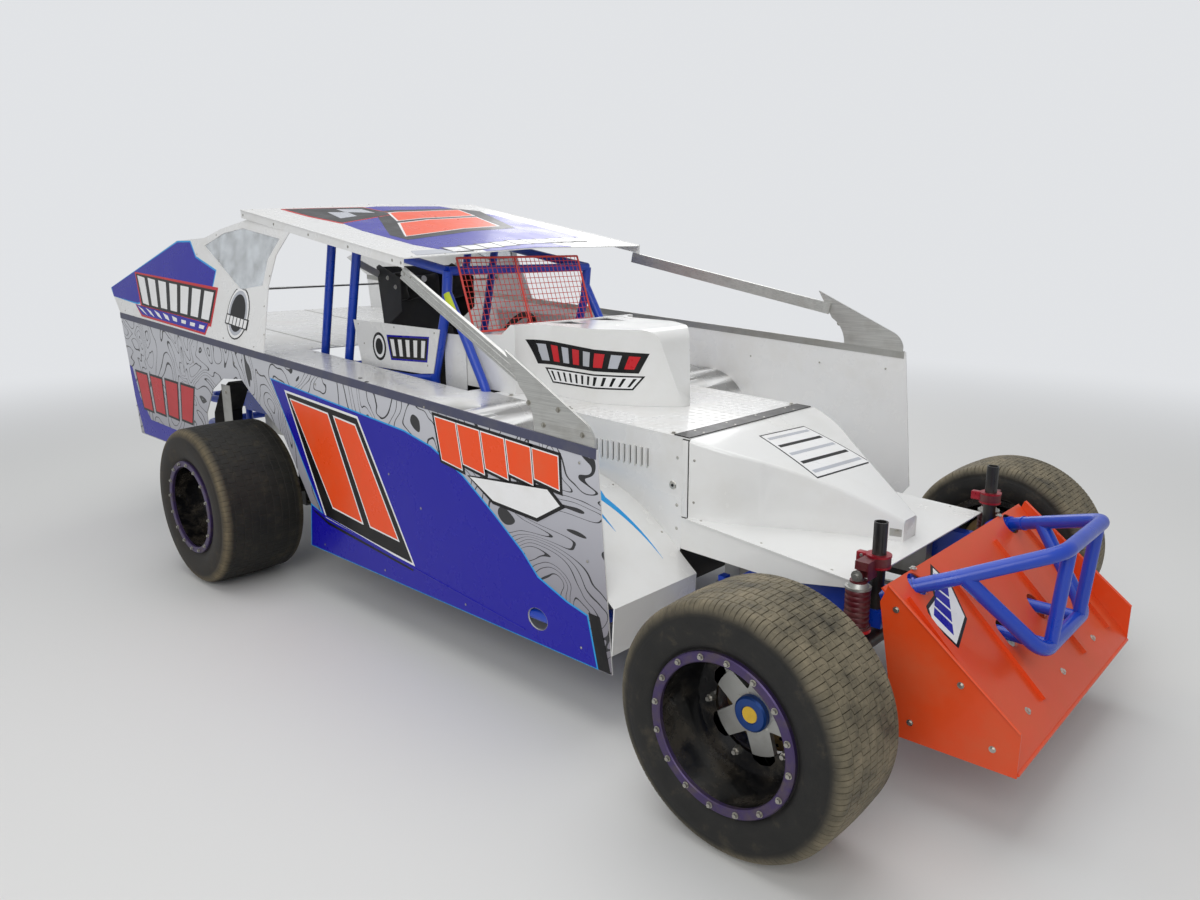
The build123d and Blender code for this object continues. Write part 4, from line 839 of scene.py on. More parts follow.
def tree_of(node):
    """A search tree over a solid's faces."""
    shape = bmesh.new()
    shape.from_mesh(frame["nodes"][node].data)
    tree = BVHTree.FromBMesh(shape)
    shape.free()
    return tree


def touch(node, start, heading):
    """Where a ray from outside meets a solid, or else the nearest place, and the way out from there."""
    if node not in TREES:
        TREES[node] = tree_of(node)
    point, normal, _, _ = TREES[node].ray_cast(start, heading)
    if point is None:
        return TREES[node].find_nearest(start + heading * NEAR_MISS)[0], -heading
    return point, -normal if normal.dot(heading) > 0 else normal


def from_side(node, side):
    """Finds the place on a solid beside a station and a height."""
    return lambda x, z: touch(node, spot(x, side * 2, z), Vector((0, -side, 0)))


def from_above(node):
    """Finds the place on a solid under a station and a distance to the left."""
    return lambda x, y: touch(node, spot(x, y, 3), Vector((0, 0, -1)))


def lay(whole, outline, finder, layer, finish, grid=None):
    """Lays a thin outline on a solid, cut along a grid first where the solid is curved."""
    shape = slab(outline, 1.0)
    if grid:
        for axis in (0, 1):
            places = [v.co[axis] for v in shape.verts]
            for i in range(math.floor(min(places) / grid) + 1, math.ceil(max(places) / grid)):
                normal = Vector((0, 0, 0))
                normal[axis] = 1
                bmesh.ops.bisect_plane(shape, geom=shape.verts[:] + shape.edges[:] + shape.faces[:],
                                       plane_co=normal * (i * grid), plane_no=normal)
    bmesh.ops.triangulate(shape, faces=shape.faces)
    for corner in shape.verts:
        point, normal = finder(corner.co.x, corner.co.y)
        corner.co = point + normal * (VINYL * layer * corner.co.z)
    put_in(whole, shape, finish)


def lay_all(whole, layers, finder, grid=None):
    """Lays rows of outline, layer and finish, one after the other."""
    for outline, layer, finish in layers:
        lay(whole, outline, finder, layer, finish, grid)


# %% Work out outlines


def grown(outline, by):
    """An outline moved outward by a distance, with mitred corners."""
    area = sum(x0 * y1 - x1 * y0 for (x0, y0), (x1, y1) in zip(outline, outline[1:] + outline[:1]))
    by = by if area > 0 else -by
    moved = []
    for i, corner in enumerate(outline):
        before, after = Vector(outline[i - 1]), Vector(outline[(i + 1) % len(outline)])
        here = Vector(corner)
        into, out = (here - before).normalized(), (after - here).normalized()
        mitre = Vector((into.y + out.y, -into.x - out.x))
        moved.append(tuple(here + mitre * (2 * by / max(mitre.dot(mitre), 1.0))))
    return moved


def bordered(outline, border, layer, edge, fill):
    """Two rows to lay: an outline, and a wider one under it that shows as its border."""
    return [(grown(outline, border), layer, edge), (outline, layer + 1, fill)]


def cells(outline, count, gap):
    """Splits a four-cornered outline into a row of slanted blocks with gaps between them."""
    a, b, c, d = (Vector(corner) for corner in outline)
    row = []
    for i in range(count):
        start, end = (i + gap) / count, (i + 1 - gap) / count
        row.append([tuple(a.lerp(b, start)), tuple(a.lerp(b, end)), tuple(d.lerp(c, end)), tuple(d.lerp(c, start))])
    return row


def oval(centre, radii, count=28):
    """Points round an ellipse."""
    turns = [i * math.tau / count for i in range(count)]
    return [(centre[0] + radii[0] * math.cos(a), centre[1] + radii[1] * math.sin(a)) for a in turns]


# %% [markdown]
# ## The side panels
# Each long panel has a printed wrap all over its outside. Over it lie a sweep of royal blue, a black
# plate with two slanted orange bars, and a row of orange blocks. The left panel stands higher, so the
# same layout is stretched up on it.

# %% Measure the panels
HEM_Z = 1.0317
HEM_SLOPE = -0.0601
LEFT_RISE = 0.165
SILL_Z = 0.21
ARCH_FRONT = 0.485
RIGHT_FRONT = 2.190
LEFT_FRONT = 2.380
JACK_HOLE_BACK = 0.267
JACK_HOLE_Z = 0.296
JACK_HOLE_RADII = (0.048, 0.038)


def hem(x, side=RIGHT):
    """Height of a side panel's top edge at a station."""
    return HEM_Z + HEM_SLOPE * x + (LEFT_RISE if side == LEFT else 0)


def rise(x, side):
    """How much taller than the right panel a panel is at a station, as a share."""
    return (hem(x, side) - SILL_Z) / (hem(x) - SILL_Z)


def drawn_out(side):
    """How much longer than the right panel a panel is ahead of the wheel arch, as a share."""
    return 1 if side == RIGHT else (LEFT_FRONT - ARCH_FRONT) / (RIGHT_FRONT - ARCH_FRONT)


def on_panel(node, side):
    """Finds a place on a side panel; the right panel's drawing is stretched to fit the left one."""
    def find(x, z):
        x = ARCH_FRONT + (x - ARCH_FRONT) * drawn_out(side) if x > ARCH_FRONT else x
        return touch(node, spot(x, side * 2, SILL_Z + (z - SILL_Z) * rise(x, side)), Vector((0, -side, 0)))
    return find


# %% Lay the panels' wrap and vinyl
BLUE_SWEEP = [(0.244, 0.914), (1.227, 0.819), (1.386, 0.785), (1.56, 0.71), (1.716, 0.608), (1.855, 0.509),
              (1.927, 0.440), (2.058, 0.392), (2.145, 0.372), (2.185, 0.213), (0.485, 0.213), (0.466, 0.365),
              (0.603, 0.376)]
PANEL_PLATE = [(0.373, 0.868), (0.916, 0.826), (1.237, 0.316), (0.985, 0.338), (0.629, 0.374)]
PANEL_BARS = [[(0.407, 0.842), (0.700, 0.816), (0.905, 0.404), (0.690, 0.424)],
               [(0.752, 0.810), (0.900, 0.796), (1.150, 0.388), (0.965, 0.402)]]
BLOCK_ROW = [[(1.420 + i * 0.124, 0.898 - i * 0.009), (1.532 + i * 0.124, 0.890 - i * 0.009),
              (1.560 + i * 0.118, 0.735 + i * 0.004), (1.452 + i * 0.118, 0.752 + i * 0.004)] for i in range(5)]
SWOOSH = [(1.60, 0.716), (1.98, 0.742), (2.035, 0.700), (1.93, 0.640), (1.72, 0.655)]
# FOLD_SHADE_LINE is painted shade: a thin black strip along the crease of the sill's fold, laid like the vinyl.
FOLD_SHADE_LINE = [(0.478, 0.352), (0.640, 0.350), (1.240, 0.292), (1.240, 0.284), (0.640, 0.338), (0.478, 0.338)]
REAR_BLUE = [(-1.440, 0.83), (-1.408, 0.65), (-1.318, 0.452), (-0.478, 0.443), (-0.470, 0.520), (-1.20, 0.545),
             (-1.32, 0.66), (-1.385, 0.82)]
REAR_RED = [[(-1.335 + i * 0.20, 0.800 - i * 0.004), (-1.185 + i * 0.20, 0.795 - i * 0.004),
             (-1.155 + i * 0.17, 0.600), (-1.275 + i * 0.17, 0.606)] for i in range(4)]


def outer_skin(whole, node, side, finish):
    """Covers the outward faces of a flat solid with a thin sheet of its own outline."""
    shape = bmesh.new()
    shape.from_mesh(frame["nodes"][node].data)
    bmesh.ops.remove_doubles(shape, verts=shape.verts, dist=MERGE_DISTANCE)
    inner = [f for f in shape.faces if f.normal.y * side < 0.9]
    bmesh.ops.delete(shape, geom=inner, context="FACES")
    bmesh.ops.dissolve_limit(shape, angle_limit=0.01, verts=shape.verts, edges=shape.edges)
    raised = bmesh.ops.extrude_face_region(shape, geom=shape.faces[:])["geom"]
    bmesh.ops.translate(shape, verts=corners_in(raised), vec=(0, side * VINYL, 0))
    put_in(whole, shape, finish)


def holed(outline, centre, radii):
    """The outline with an oval left open, joined to the sill edge below it by a hairline."""
    x, z = centre
    foot = min(height for _, height in outline)
    steps = [0.02 + i * (math.tau - 0.04) / 24 for i in range(25)]
    slit = 0.0001
    way = [(x + radii[0] * math.sin(a), z - radii[1] * math.cos(a)) for a in steps]
    low = [i for i, (_, height) in enumerate(outline) if height < foot + 0.001]
    return outline[:low[0] + 1] + [(x + slit, foot)] + way + [(x - slit, foot)] + outline[low[0] + 1:]


for hand, side in HANDS:
    node = f"{hand}_side_panel"
    front = RIGHT_FRONT if side == RIGHT else LEFT_FRONT
    taller = rise(front - JACK_HOLE_BACK, side)
    hole_x = ARCH_FRONT + (front - JACK_HOLE_BACK - ARCH_FRONT) / drawn_out(side)
    hole = ((hole_x, SILL_Z + (JACK_HOLE_Z - SILL_Z) / taller), (JACK_HOLE_RADII[0], JACK_HOLE_RADII[1] / taller))
    whole = bmesh.new()
    outer_skin(whole, node, side, "printed_contour_wrap")
    # The black line along the sill's fold is painted shade of its crease.
    layers = [(holed(grown(BLUE_SWEEP, 0.006), *hole), 2, "light_blue_vinyl"),
              (holed(BLUE_SWEEP, *hole), 3, "royal_blue_vinyl"), (FOLD_SHADE_LINE, 4, "black_vinyl")]
    layers += bordered(PANEL_PLATE, 0.010, 4, "white_vinyl", "black_vinyl")
    for bar in PANEL_BARS:
        layers += bordered(bar, 0.007, 6, "white_vinyl", "orange_vinyl")
    layers += [(grown(block, 0.014), 4, "black_vinyl") for block in BLOCK_ROW]
    for block in BLOCK_ROW:
        layers += bordered(block, 0.004, 5, "white_vinyl", "orange_vinyl")
    layers += bordered(SWOOSH, 0.012, 4, "black_vinyl", "white_vinyl") + [(REAR_BLUE, 2, "royal_blue_vinyl")]
    for block in REAR_RED:
        layers += bordered(block, 0.012, 3, "black_vinyl", "red_vinyl")
    lay_all(whole, layers, on_panel(node, side))
    finished(f"{hand}_panel_vinyl", whole, "chassis")

# %% [markdown]
# ## Edges of the side panels
# The top edge of each panel is capped so that it cuts nobody: on the right with a folded strip of
# dark grey vinyl, on the left with a bent aluminium channel. Both are one U-shaped section, carried
# along the sloping edge in a sweep, because a bevel could not wrap round the sheet.

# %% Cap the panels' top edges
SHEET = 0.004
PANEL_Y = 0.8
OUTSIDE_LEG = 0.030
EDGES = (("right", RIGHT, "grey_hem_vinyl", 0.012), ("left", LEFT, "mill_aluminium", 0.027))
RIVET_PITCH = 0.30


def cap_section(outside, inside, flip):
    """A channel over a sheet's edge, as (outward, down) points, with legs of two lengths."""
    legs = [(0.0020, outside), (0.0020, -0.0014), (-SHEET - 0.0016, -0.0014), (-SHEET - 0.0016, inside),
            (-SHEET - 0.0006, inside), (-SHEET - 0.0006, -0.0004), (0.0009, -0.0004), (0.0009, outside)]
    return [(out, flip * down) for out, down in legs]


for hand, side, finish, inside in EDGES:
    low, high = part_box(f"{hand}_side_panel")
    ends = (low.x - REAR_AXLE + 0.002, high.x - REAR_AXLE - 0.06)
    path = [spot(x, side * PANEL_Y, hem(x, side)) for x in ends]
    whole = bmesh.new()
    put_in(whole, swept(cap_section(OUTSIDE_LEG, inside, -side), path, Vector((0, side, 0))), finish)
    if side == LEFT:
        edge = from_side(f"{hand}_side_panel", side)
        stations = [ends[0] + 0.06 + i * RIVET_PITCH for i in range(12)]
        seats = [edge(x, hem(x, side) - 0.016)[0] + Vector((0, side * 0.002, 0)) for x in stations]
        put_in(whole, stub(0.004, 0.0012, 10, 0.7), "stainless_bolt", [facing(at, (0, side, 0)) for at in seats])
    finished(f"{hand}_panel_edge", whole, "chassis")

# %% [markdown]
# ## Fasteners
# Sheets on a race car are riveted or held by quarter-turn screws. A rivet is a shallow dome and a
# bolt a six-sided head on a washer. Each is one small shape, put at every place in its list, and a
# ray seats it on the sheet below, so that none floats.

# %% Rivets and bolts
RIVET_HEIGHT = 0.0016
WASHER_HEIGHT = 0.0012
HEAD_HEIGHT = 0.0050


def seated(finder, points, lift=0.0):
    """Places on a solid, facing out from it, for fasteners at the given points."""
    places = []
    for a, b in points:
        point, normal = finder(a, b)
        places.append(facing(point + normal * lift, normal))
    return places


def rivets(whole, places, finish="zinc_plate", radius=0.0045):
    """Domed rivet heads."""
    put_in(whole, stub(radius, RIVET_HEIGHT, 10, 0.55), finish, places)


def bolts(whole, places, finish="stainless_bolt", radius=0.006):
    """Hexagon heads on washers."""
    on_washers = [place @ Matrix.Translation((0, 0, 0.001)) for place in places]
    put_in(whole, stub(radius * 1.5, WASHER_HEIGHT, 12), finish, places)
    put_in(whole, stub(radius, HEAD_HEIGHT, 6, 0.92), finish, on_washers)


def along(start, end, count):
    """Points spread evenly from one to the other."""
    return [tuple(a + (b - a) * i / (count - 1) for a, b in zip(start, end)) for i in range(count)]


# %% [markdown]
# ## The roof's vinyl and edge
# The roof wears a blue field with two orange bars on a black plate, a dark accent at the rear and a
# row of plain blocks along the front. The roof is lightly crowned, so the outlines are cut along a
# grid before they are laid, and each corner lands on the sheet.

# %% Dress the roof
ROOF_GRID = 0.06
ROOF_LIFT = 2
ROOF_FIELD = [(-0.069, -0.093), (0.120, -0.300), (0.308, -0.440), (0.513, -0.468), (0.868, -0.463),
              (1.000, -0.420), (0.930, 0.050), (0.856, 0.499), (0.205, 0.531), (-0.098, 0.398), (-0.089, 0.039)]
ROOF_STRIP = [(0.990, -0.250), (1.086, -0.265), (1.086, 0.215), (0.960, 0.150)]
ROOF_ACCENT = [(-0.120, -0.480), (0.100, -0.475), (0.308, -0.440), (0.148, -0.063), (-0.069, -0.093),
               (-0.100, -0.296)]
ACCENT_CHIPS = [[(0.02, -0.34), (0.20, -0.38), (0.16, -0.27), (0.05, -0.25)],
                [(-0.05, -0.25), (0.04, -0.26), (0.10, -0.13), (-0.02, -0.13)]]
ROOF_PLATE = [(0.060, -0.110), (-0.020, 0.440), (0.070, 0.540), (0.600, 0.320), (0.770, -0.420), (0.650, -0.425)]
ROOF_BARS = [[(0.120, -0.060), (0.036, 0.420), (0.215, 0.372), (0.330, -0.160)],
             [(0.395, -0.195), (0.275, 0.345), (0.535, 0.262), (0.690, -0.370)]]
ROOF_CORNER = [(0.985, -0.560), (1.062, -0.590), (1.070, -0.400), (0.990, -0.425)]
SIGN_BLOCKS = 9
SIGN_BLOCK = ((-0.042, -0.036), (0.040, -0.044), (0.044, 0.036), (-0.038, 0.044))

roof = from_above("roof")
layers = [(ROOF_FIELD, 1, "royal_blue_vinyl"), (ROOF_STRIP, 1, "royal_blue_vinyl")]
layers += bordered(ROOF_ACCENT, 0.012, 2, "red_vinyl", "black_vinyl") + [(ROOF_PLATE, 2, "black_vinyl")]
layers += [(chip, 4, "silver_vinyl") for chip in ACCENT_CHIPS]
for bar in ROOF_BARS:
    layers += bordered(bar, 0.012, 3, "white_vinyl", "orange_vinyl")
for i in range(SIGN_BLOCKS):
    x, y = 1.012 - i * 0.012, -0.36 + i * 0.094
    block = [(x + ahead, y + left) for ahead, left in SIGN_BLOCK]
    layers += bordered(block, 0.010, 2, "black_vinyl", "white_vinyl")
layers.append((ROOF_CORNER, 2, "silver_vinyl"))
whole = bmesh.new()
lay_all(whole, [(outline, layer + ROOF_LIFT, finish) for outline, layer, finish in layers], roof, ROOF_GRID)
finished("roof_vinyl", whole, "chassis")

# %% Rivet the roof
ROOF_REAR = -0.17
ROOF_REAR_Z = 1.640
ROOF_SLOPE = (1.432 - ROOF_REAR_Z) / 1.26
ROOF_LEFT_RISE = 0.060
ROOF_LEFT_FALL = 0.016
ROOF_RIM_Y = 0.6705


def roof_edge(x, side=RIGHT):
    """Height of the roof's side edge at a station; the left edge is a little higher."""
    back = x - ROOF_REAR
    return ROOF_REAR_Z + ROOF_SLOPE * back + (ROOF_LEFT_RISE - ROOF_LEFT_FALL * back if side == LEFT else 0)


whole = bmesh.new()
for side in SIDES:
    heads = [(x, roof_edge(x, side) - 0.020) for x in (-0.15, 0.13, 0.42, 0.72, 1.02, 1.075)]
    rivets(whole, seated(from_side("roof", side), heads), radius=0.006)
    rim = [spot(x, side * ROOF_RIM_Y, roof_edge(x, side)) for x in (-0.169, 1.089)]
    put_in(whole, rod(rim, 0.0032, 8, Vector((0, side, 0))), "white_enamel")
rivets(whole, seated(roof, along((1.075, -0.62), (1.075, 0.62), 9) + along((-0.155, -0.62), (-0.155, 0.62), 7)))
finished("roof_rivets", whole, "chassis")

# %% [markdown]
# ## The sail panels
# Each sail panel leans in from the side panel to the roof. Its tail is blue with a light blue edge,
# and below it stand plates of white blocks in black, blue and red. Heights are worked out as a share
# of the way from the panel's edge to the roof, so the same drawing fits both sides.

# %% Dress the sails
SAIL_FIN = [(-1.640, 1.262), (-0.849, 1.498), (-0.700, 1.498), (-0.612, 1.424), (-0.376, 1.362), (-0.386, 1.290),
            (-1.248, 1.182), (-1.598, 1.203)]
SAIL_SIGN = [(-1.323, 1.335), (-0.338, 1.274), (-0.352, 1.120), (-1.180, 1.172)]
SIGN_FOOT = [(-1.262, 1.172), (-0.372, 1.118), (-0.394, 1.074), (-1.160, 1.124)]
OVAL_AT, OVAL_RADII = (-0.090, 1.180), (0.105, 0.118)
OVAL_RINGS = ((0, "black_vinyl"), (0.006, "white_vinyl"), (0.018, "silver_vinyl"), (0.034, "black_vinyl"))
OVAL_BAR = ((-0.10, -0.010), (0.105, -0.030), (0.100, -0.066), (-0.105, -0.046))
SAIL_SCREWS = [(0.175, 1.10), (0.140, 1.22), (0.150, 1.35), (-0.60, 1.44), (-0.42, 1.53)]


def on_sail(side):
    """Finds a place on a sail; heights are the right one's."""
    def reach(x, hand):
        return roof_edge(x, hand) - 0.036 - hem(x, hand)

    def find(x, z):
        height = hem(x, side) + (z - hem(x)) / reach(x, RIGHT) * reach(x, side)
        return touch("sail_panels", spot(x, side * 2, height), Vector((0, -side, 0)))
    return find


for hand, side in HANDS:
    layers = bordered(SAIL_FIN, 0.008, 1, "light_blue_vinyl", "royal_blue_vinyl")
    layers += bordered(SAIL_SIGN, 0.014, 3, "red_vinyl", "black_vinyl")
    layers += bordered(SIGN_FOOT, 0.010, 3, "red_vinyl", "royal_blue_vinyl")
    layers += [(grown(block, -0.012), 5, "white_vinyl") for block in cells(SAIL_SIGN, 7, 0.06)]
    layers += [(grown(block, -0.014), 5, "white_vinyl") for block in cells(SIGN_FOOT, 8, 0.1)]
    layers += [(oval(OVAL_AT, [r - inset for r in OVAL_RADII]), 3 + i, finish)
               for i, (inset, finish) in enumerate(OVAL_RINGS)]
    bar = [(OVAL_AT[0] + ahead, OVAL_AT[1] + up) for ahead, up in OVAL_BAR]
    layers.append((grown(bar, 0.005), 7, "black_vinyl"))
    layers += [(block, 8, "white_vinyl") for block in cells(bar, 6, 0.12)]
    whole = bmesh.new()
    find = on_sail(side)
    lay_all(whole, layers, find)
    rivets(whole, seated(find, [(x, hem(x) + 0.018) for x in (-1.40, -1.10, -0.80, -0.50, -0.20, 0.10)]))
    rivets(whole, seated(find, SAIL_SCREWS))
    finished(f"{hand}_sail_vinyl", whole, "chassis")

# %% [markdown]
# ## The windscreen's wire screen
# Stones and clods fly, so a screen of welded wire fills the windscreen. The solid has it as a plain
# grid, coarse enough to collide. Here it is drawn with real wires: two layers of thin rods that
# cross, in a frame of thicker rod, with one more rod up the middle.

# %% Weave the screen
SCREEN_AT = spot(1.078, -0.035, 1.284)
SCREEN_SIZE = (0.690, 0.312)
SCREEN_LEAN = math.radians(18.7)
MESH_PITCH = 0.0246
WIRE_R = 0.0014
FRAME_R = 0.0045


def screen_piece():
    """The windscreen's screen of crossed wires in its frame."""
    up = Vector((-math.sin(SCREEN_LEAN), 0, math.cos(SCREEN_LEAN)))
    out = Vector((math.cos(SCREEN_LEAN), 0, math.sin(SCREEN_LEAN)))
    width, height = SCREEN_SIZE
    whole = bmesh.new()

    def wire(across0, up0, across1, up1, radius, lift, sides):
        ends = [SCREEN_AT + Vector((0, a, 0)) + up * u + out * lift for a, u in ((across0, up0), (across1, up1))]
        put_in(whole, rod(ends, radius, sides, out), "red_wire_paint")

    columns, rows = round(width / MESH_PITCH), round(height / MESH_PITCH)
    for i in range(1, columns):
        y = -width / 2 + i * width / columns
        wire(y, -height / 2, y, height / 2, WIRE_R, WIRE_R, 6)
    for i in range(1, rows):
        u = -height / 2 + i * height / rows
        wire(-width / 2, u, width / 2, u, WIRE_R, -WIRE_R, 6)
    half, top = width / 2 - FRAME_R, height / 2 - FRAME_R
    for y in (-half, -0.035, half):
        wire(y, -top, y, top, FRAME_R, 0, 12)
    for u in (-top, top):
        wire(-half, u, half, u, FRAME_R, 0, 12)
    finished("windscreen_wire_screen", whole, "chassis", ["windscreen_screen"])


screen_piece()

# %% [markdown]
# ## The deck over the engine
# The deck is pressed with rows of short slanted dimples that stiffen it, and a black rubber strip
# covers its joint with the nose. Dimples could be bump alone, but they catch a hard edge of light, so
# they are real: one low lozenge, copied along rows.

# %% Dress the deck
DIMPLE_PITCH = 0.034
DIMPLE_ROWS = (-0.365, -0.325, -0.285, 0.260, 0.300, 0.340)
DIMPLE_FIELD = [-0.20 + i * 0.044 for i in range(10)]
DIMPLE_STRETCH = Matrix.Diagonal((1.9, 0.62, 1.0, 1.0))
DIMPLE_TURN = Matrix.Rotation(0.5, 4, "Z")
HOOD_FRONT = 2.215
HOOD_BOLTS = [(1.335, -0.375), (1.335, 0.352), (2.135, -0.375), (2.135, 0.352)]
ENGINE_SIDE_RIVETS = [(2.168, 0.640), (2.168, 0.800), (2.168, 0.560), (1.28, 0.86), (1.28, 0.70)]
FLANGES = ((RIGHT, -0.395), (LEFT, 0.370))


def dimple_places(rows, start, end):
    """Places for lozenge dimples, each turned a little from its row."""
    points = [(start + i * DIMPLE_PITCH, y) for y in rows for i in range(int((end - start) / DIMPLE_PITCH))]
    return [Matrix.Translation(hood(x, y)[0]) @ DIMPLE_TURN @ DIMPLE_STRETCH for x, y in points]


hood = from_above("hood_deck")
whole = bmesh.new()
lozenges = dimple_places(DIMPLE_ROWS, 1.46, 2.16) + dimple_places(DIMPLE_FIELD, 1.94, 2.16)
put_in(whole, stub(0.0085, 0.0016, 8, 0.62), "white_enamel", lozenges)
finished("deck_dimples", whole, "chassis")

whole = bmesh.new()
joint = [hood(HOOD_FRONT - back, 0)[0] - Vector((0, 0.013, 0)) for back in (0.064, 0.002)]
put_in(whole, strip(joint, 0.0035, -0.379, 0.379, Vector((0, 0, 1))), "black_vinyl")
heads = [(HOOD_FRONT - back, y) for y in (-0.30, -0.12, 0.06, 0.26) for back in (0.050, 0.014)]
rivets(whole, seated(hood, heads, 0.0030), "stainless_bolt", 0.005)
finished("hood_joint_strip", whole, "chassis")

whole = bmesh.new()
bolts(whole, seated(hood, HOOD_BOLTS), radius=0.007)
latch_at = hood(1.643, -0.376)[0]
for low, high in (((-0.020, -0.010, 0), (0.020, 0.010, 0.003)), ((-0.008, -0.004, 0.003), (0.016, 0.004, 0.010))):
    put_in(whole, brick(latch_at + Vector(low), latch_at + Vector(high), 0.001), "stainless_bolt")
for side, y in FLANGES:
    inner, outer = sorted((y - side * 0.0005, y - side * 0.0030))
    put_in(whole, brick(spot(2.1855, inner, 0.605), spot(2.2095, outer, 0.862), 0.0005), "white_enamel")
    panel = from_side("engine_side_panels", side)
    rivets(whole, seated(panel, ENGINE_SIDE_RIVETS), "stainless_bolt", 0.006)
    fastener = seated(panel, [(2.150, 0.705)])
    put_in(whole, stub(0.015, 0.0025, 20, 0.85), "stainless_bolt", fastener)
    put_in(whole, stub(0.006, 0.0040, 12, 0.8), "black_powder_coat", fastener)
finished("deck_fasteners", whole, "chassis")

# %% [markdown]
# ## Nose, scoop and pods
# The moulded nose carries a small black and grey sign on its crown, a bolted aluminium clip at its
# tip and rivets along its foot. The scoop has two plates of plain blocks on each side. They are cut
# along a grid that has one line on the fold of the scoop's wall, so that they bend there. On each pod
# run two tapered light blue stripes.

# %% Dress the nose
NOSE_PLATE = [(2.300, -0.110), (2.545, -0.160), (2.560, 0.160), (2.315, 0.145)]
NOSE_CLIP = [(2.752, 0.610), (2.785, 0.607), (2.785, 0.583), (2.752, 0.585)]
NOSE_GRID = 0.05

whole = bmesh.new()
nose_top = from_above("nose")
layers = bordered(NOSE_PLATE, 0.006, 1, "black_vinyl", "white_vinyl")
layers += [(grown(band, -0.012), 3, "black_vinyl" if i % 2 else "silver_vinyl")
           for i, band in enumerate(cells(NOSE_PLATE, 5, 0.12))]
lay_all(whole, layers, nose_top, NOSE_GRID)
for side in SIDES:
    wall = from_side("nose", side)
    rivets(whole, seated(wall, [(2.232, 0.66), (2.232, 0.80)]))
    rivets(whole, seated(nose_top, [(2.26, side * 0.385), (2.50, side * 0.40), (2.75, side * 0.42)]))
    lay(whole, NOSE_CLIP, wall, 3, "mill_aluminium")
    bolts(whole, seated(wall, [(2.772, 0.600)], 0.001), "zinc_plate", 0.005)
finished("nose_trim", whole, "chassis")

# %% Dress the scoop and the pods
SCOOP_UPPER = [(1.352, 1.112), (1.800, 1.078), (1.776, 1.020), (1.376, 1.034)]
SCOOP_LOWER = [(1.405, 1.006), (1.790, 0.996), (1.762, 0.955), (1.430, 0.960)]
SCOOP_FOLD = 1.640
SCOOP_GRID = SCOOP_FOLD / 100
POD_STRIPES = ([(1.72, 0.400), (1.75, 0.480), (1.944, 0.528), (2.186, 0.486), (1.944, 0.500)],
               [(1.80, 0.560), (1.82, 0.590), (2.073, 0.590), (1.995, 0.577)])
LEFT_STRIPE_IN = 0.02
STRIPE_GRID = 0.02

layers = [(grown(SCOOP_UPPER, 0.008), 2, "black_vinyl")]
layers += bordered(SCOOP_LOWER, 0.006, 2, "black_vinyl", "white_vinyl")
layers += [(grown(block, -0.006), 3, "red_vinyl" if i % 2 else "silver_vinyl")
           for i, block in enumerate(cells(SCOOP_UPPER, 8, 0.08))]
layers += [(grown(block, -0.005), 4, "black_vinyl") for block in cells(SCOOP_LOWER, 12, 0.16)]
whole = bmesh.new()
for side in SIDES:
    lay_all(whole, layers, from_side("hood_scoop", side), SCOOP_GRID)
finished("scoop_sign", whole, "chassis")

whole = bmesh.new()
ramp = from_above("side_pods")
for side in SIDES:
    for stripe in POD_STRIPES:
        outline = [(x, side * (y if side == RIGHT else y - LEFT_STRIPE_IN)) for x, y in stripe]
        lay(whole, outline, ramp, 2, "light_blue_vinyl", STRIPE_GRID)
    rivets(whole, seated(ramp, [(x, side * y) for x in (1.68, 1.90, 2.12) for y in (0.412, 0.782)]))
finished("pod_stripes", whole, "chassis")

# %% [markdown]
# ## The front shovel
# The shovel is a powder-coated sheet with pressed beads, dusty and scratched. It carries a plain
# plate of blue bars on white. Rolled edges stiffen it, and bolts hold it to its tabs.

# %% Dress the shovel
SHOVEL_PLATE = [(2.966, -0.240), (3.010, -0.220), (3.074, -0.264), (3.103, -0.388), (3.045, -0.414), (3.024, -0.392),
                (3.016, -0.325), (2.990, -0.292)]
SHOVEL_BARS = [(2.985, -0.262), (3.040, -0.396), (3.090, -0.376), (3.010, -0.236)]
SHOVEL_BOLTS = [(2.965, -0.33), (2.965, 0.33), (3.27, -0.30), (3.27, 0.30), (3.27, 0.0)]
SHOVEL_SIDE_BOLTS = [(2.99, 0.55), (3.05, 0.25), (3.26, 0.26), (3.17, 0.40)]
SHOVEL_EDGE = ((2.967, 0.6115), (3.321, 0.3255))

whole = bmesh.new()
slope = from_above("shovel")
layers = bordered(SHOVEL_PLATE, 0.007, 1, "black_vinyl", "white_vinyl")
layers += [(bar, 3, "royal_blue_vinyl") for bar in cells(SHOVEL_BARS, 4, 0.10)]
lay_all(whole, layers, slope)
bolts(whole, seated(slope, SHOVEL_BOLTS), radius=0.007)
for side in SIDES:
    bolts(whole, seated(from_side("shovel", side), SHOVEL_SIDE_BOLTS))
    corner = [spot(x, side * 0.5215, z) for x, z in SHOVEL_EDGE]
    put_in(whole, rod(corner, 0.004, 8, Vector((0, side, 0))), "orange_powder_coat")
lip = [spot(3.3225, y, 0.2135) for y in (-0.514, 0.514)]
put_in(whole, rod(lip, 0.005, 10, Vector((0, 0, 1))), "orange_powder_coat")
finished("shovel_trim", whole, "chassis")

# %% [markdown]
# ## Posts, clamps and shocks
# Black posts rise from the front of the frame. A red anodised clamp with silver screws holds the
# head of each shock, whose coil is wrapped in a dark red boot with silver bands. The wrap's ridges are
# a spun section, as the real one is laced on in turns.

# %% Dress the front corners
POST_AT = (2.885, 0.415)
SHOCK_AT = (2.862, 0.480)
SHOCK_FOOT, SHOCK_HEAD = 0.360, 0.602
BOOT_R = 0.0345
BOOT_TURNS = 7
BOOT_GROOVE = 0.0022
SLIT_AT = 0.0186
SLIT_HALF = 0.0012


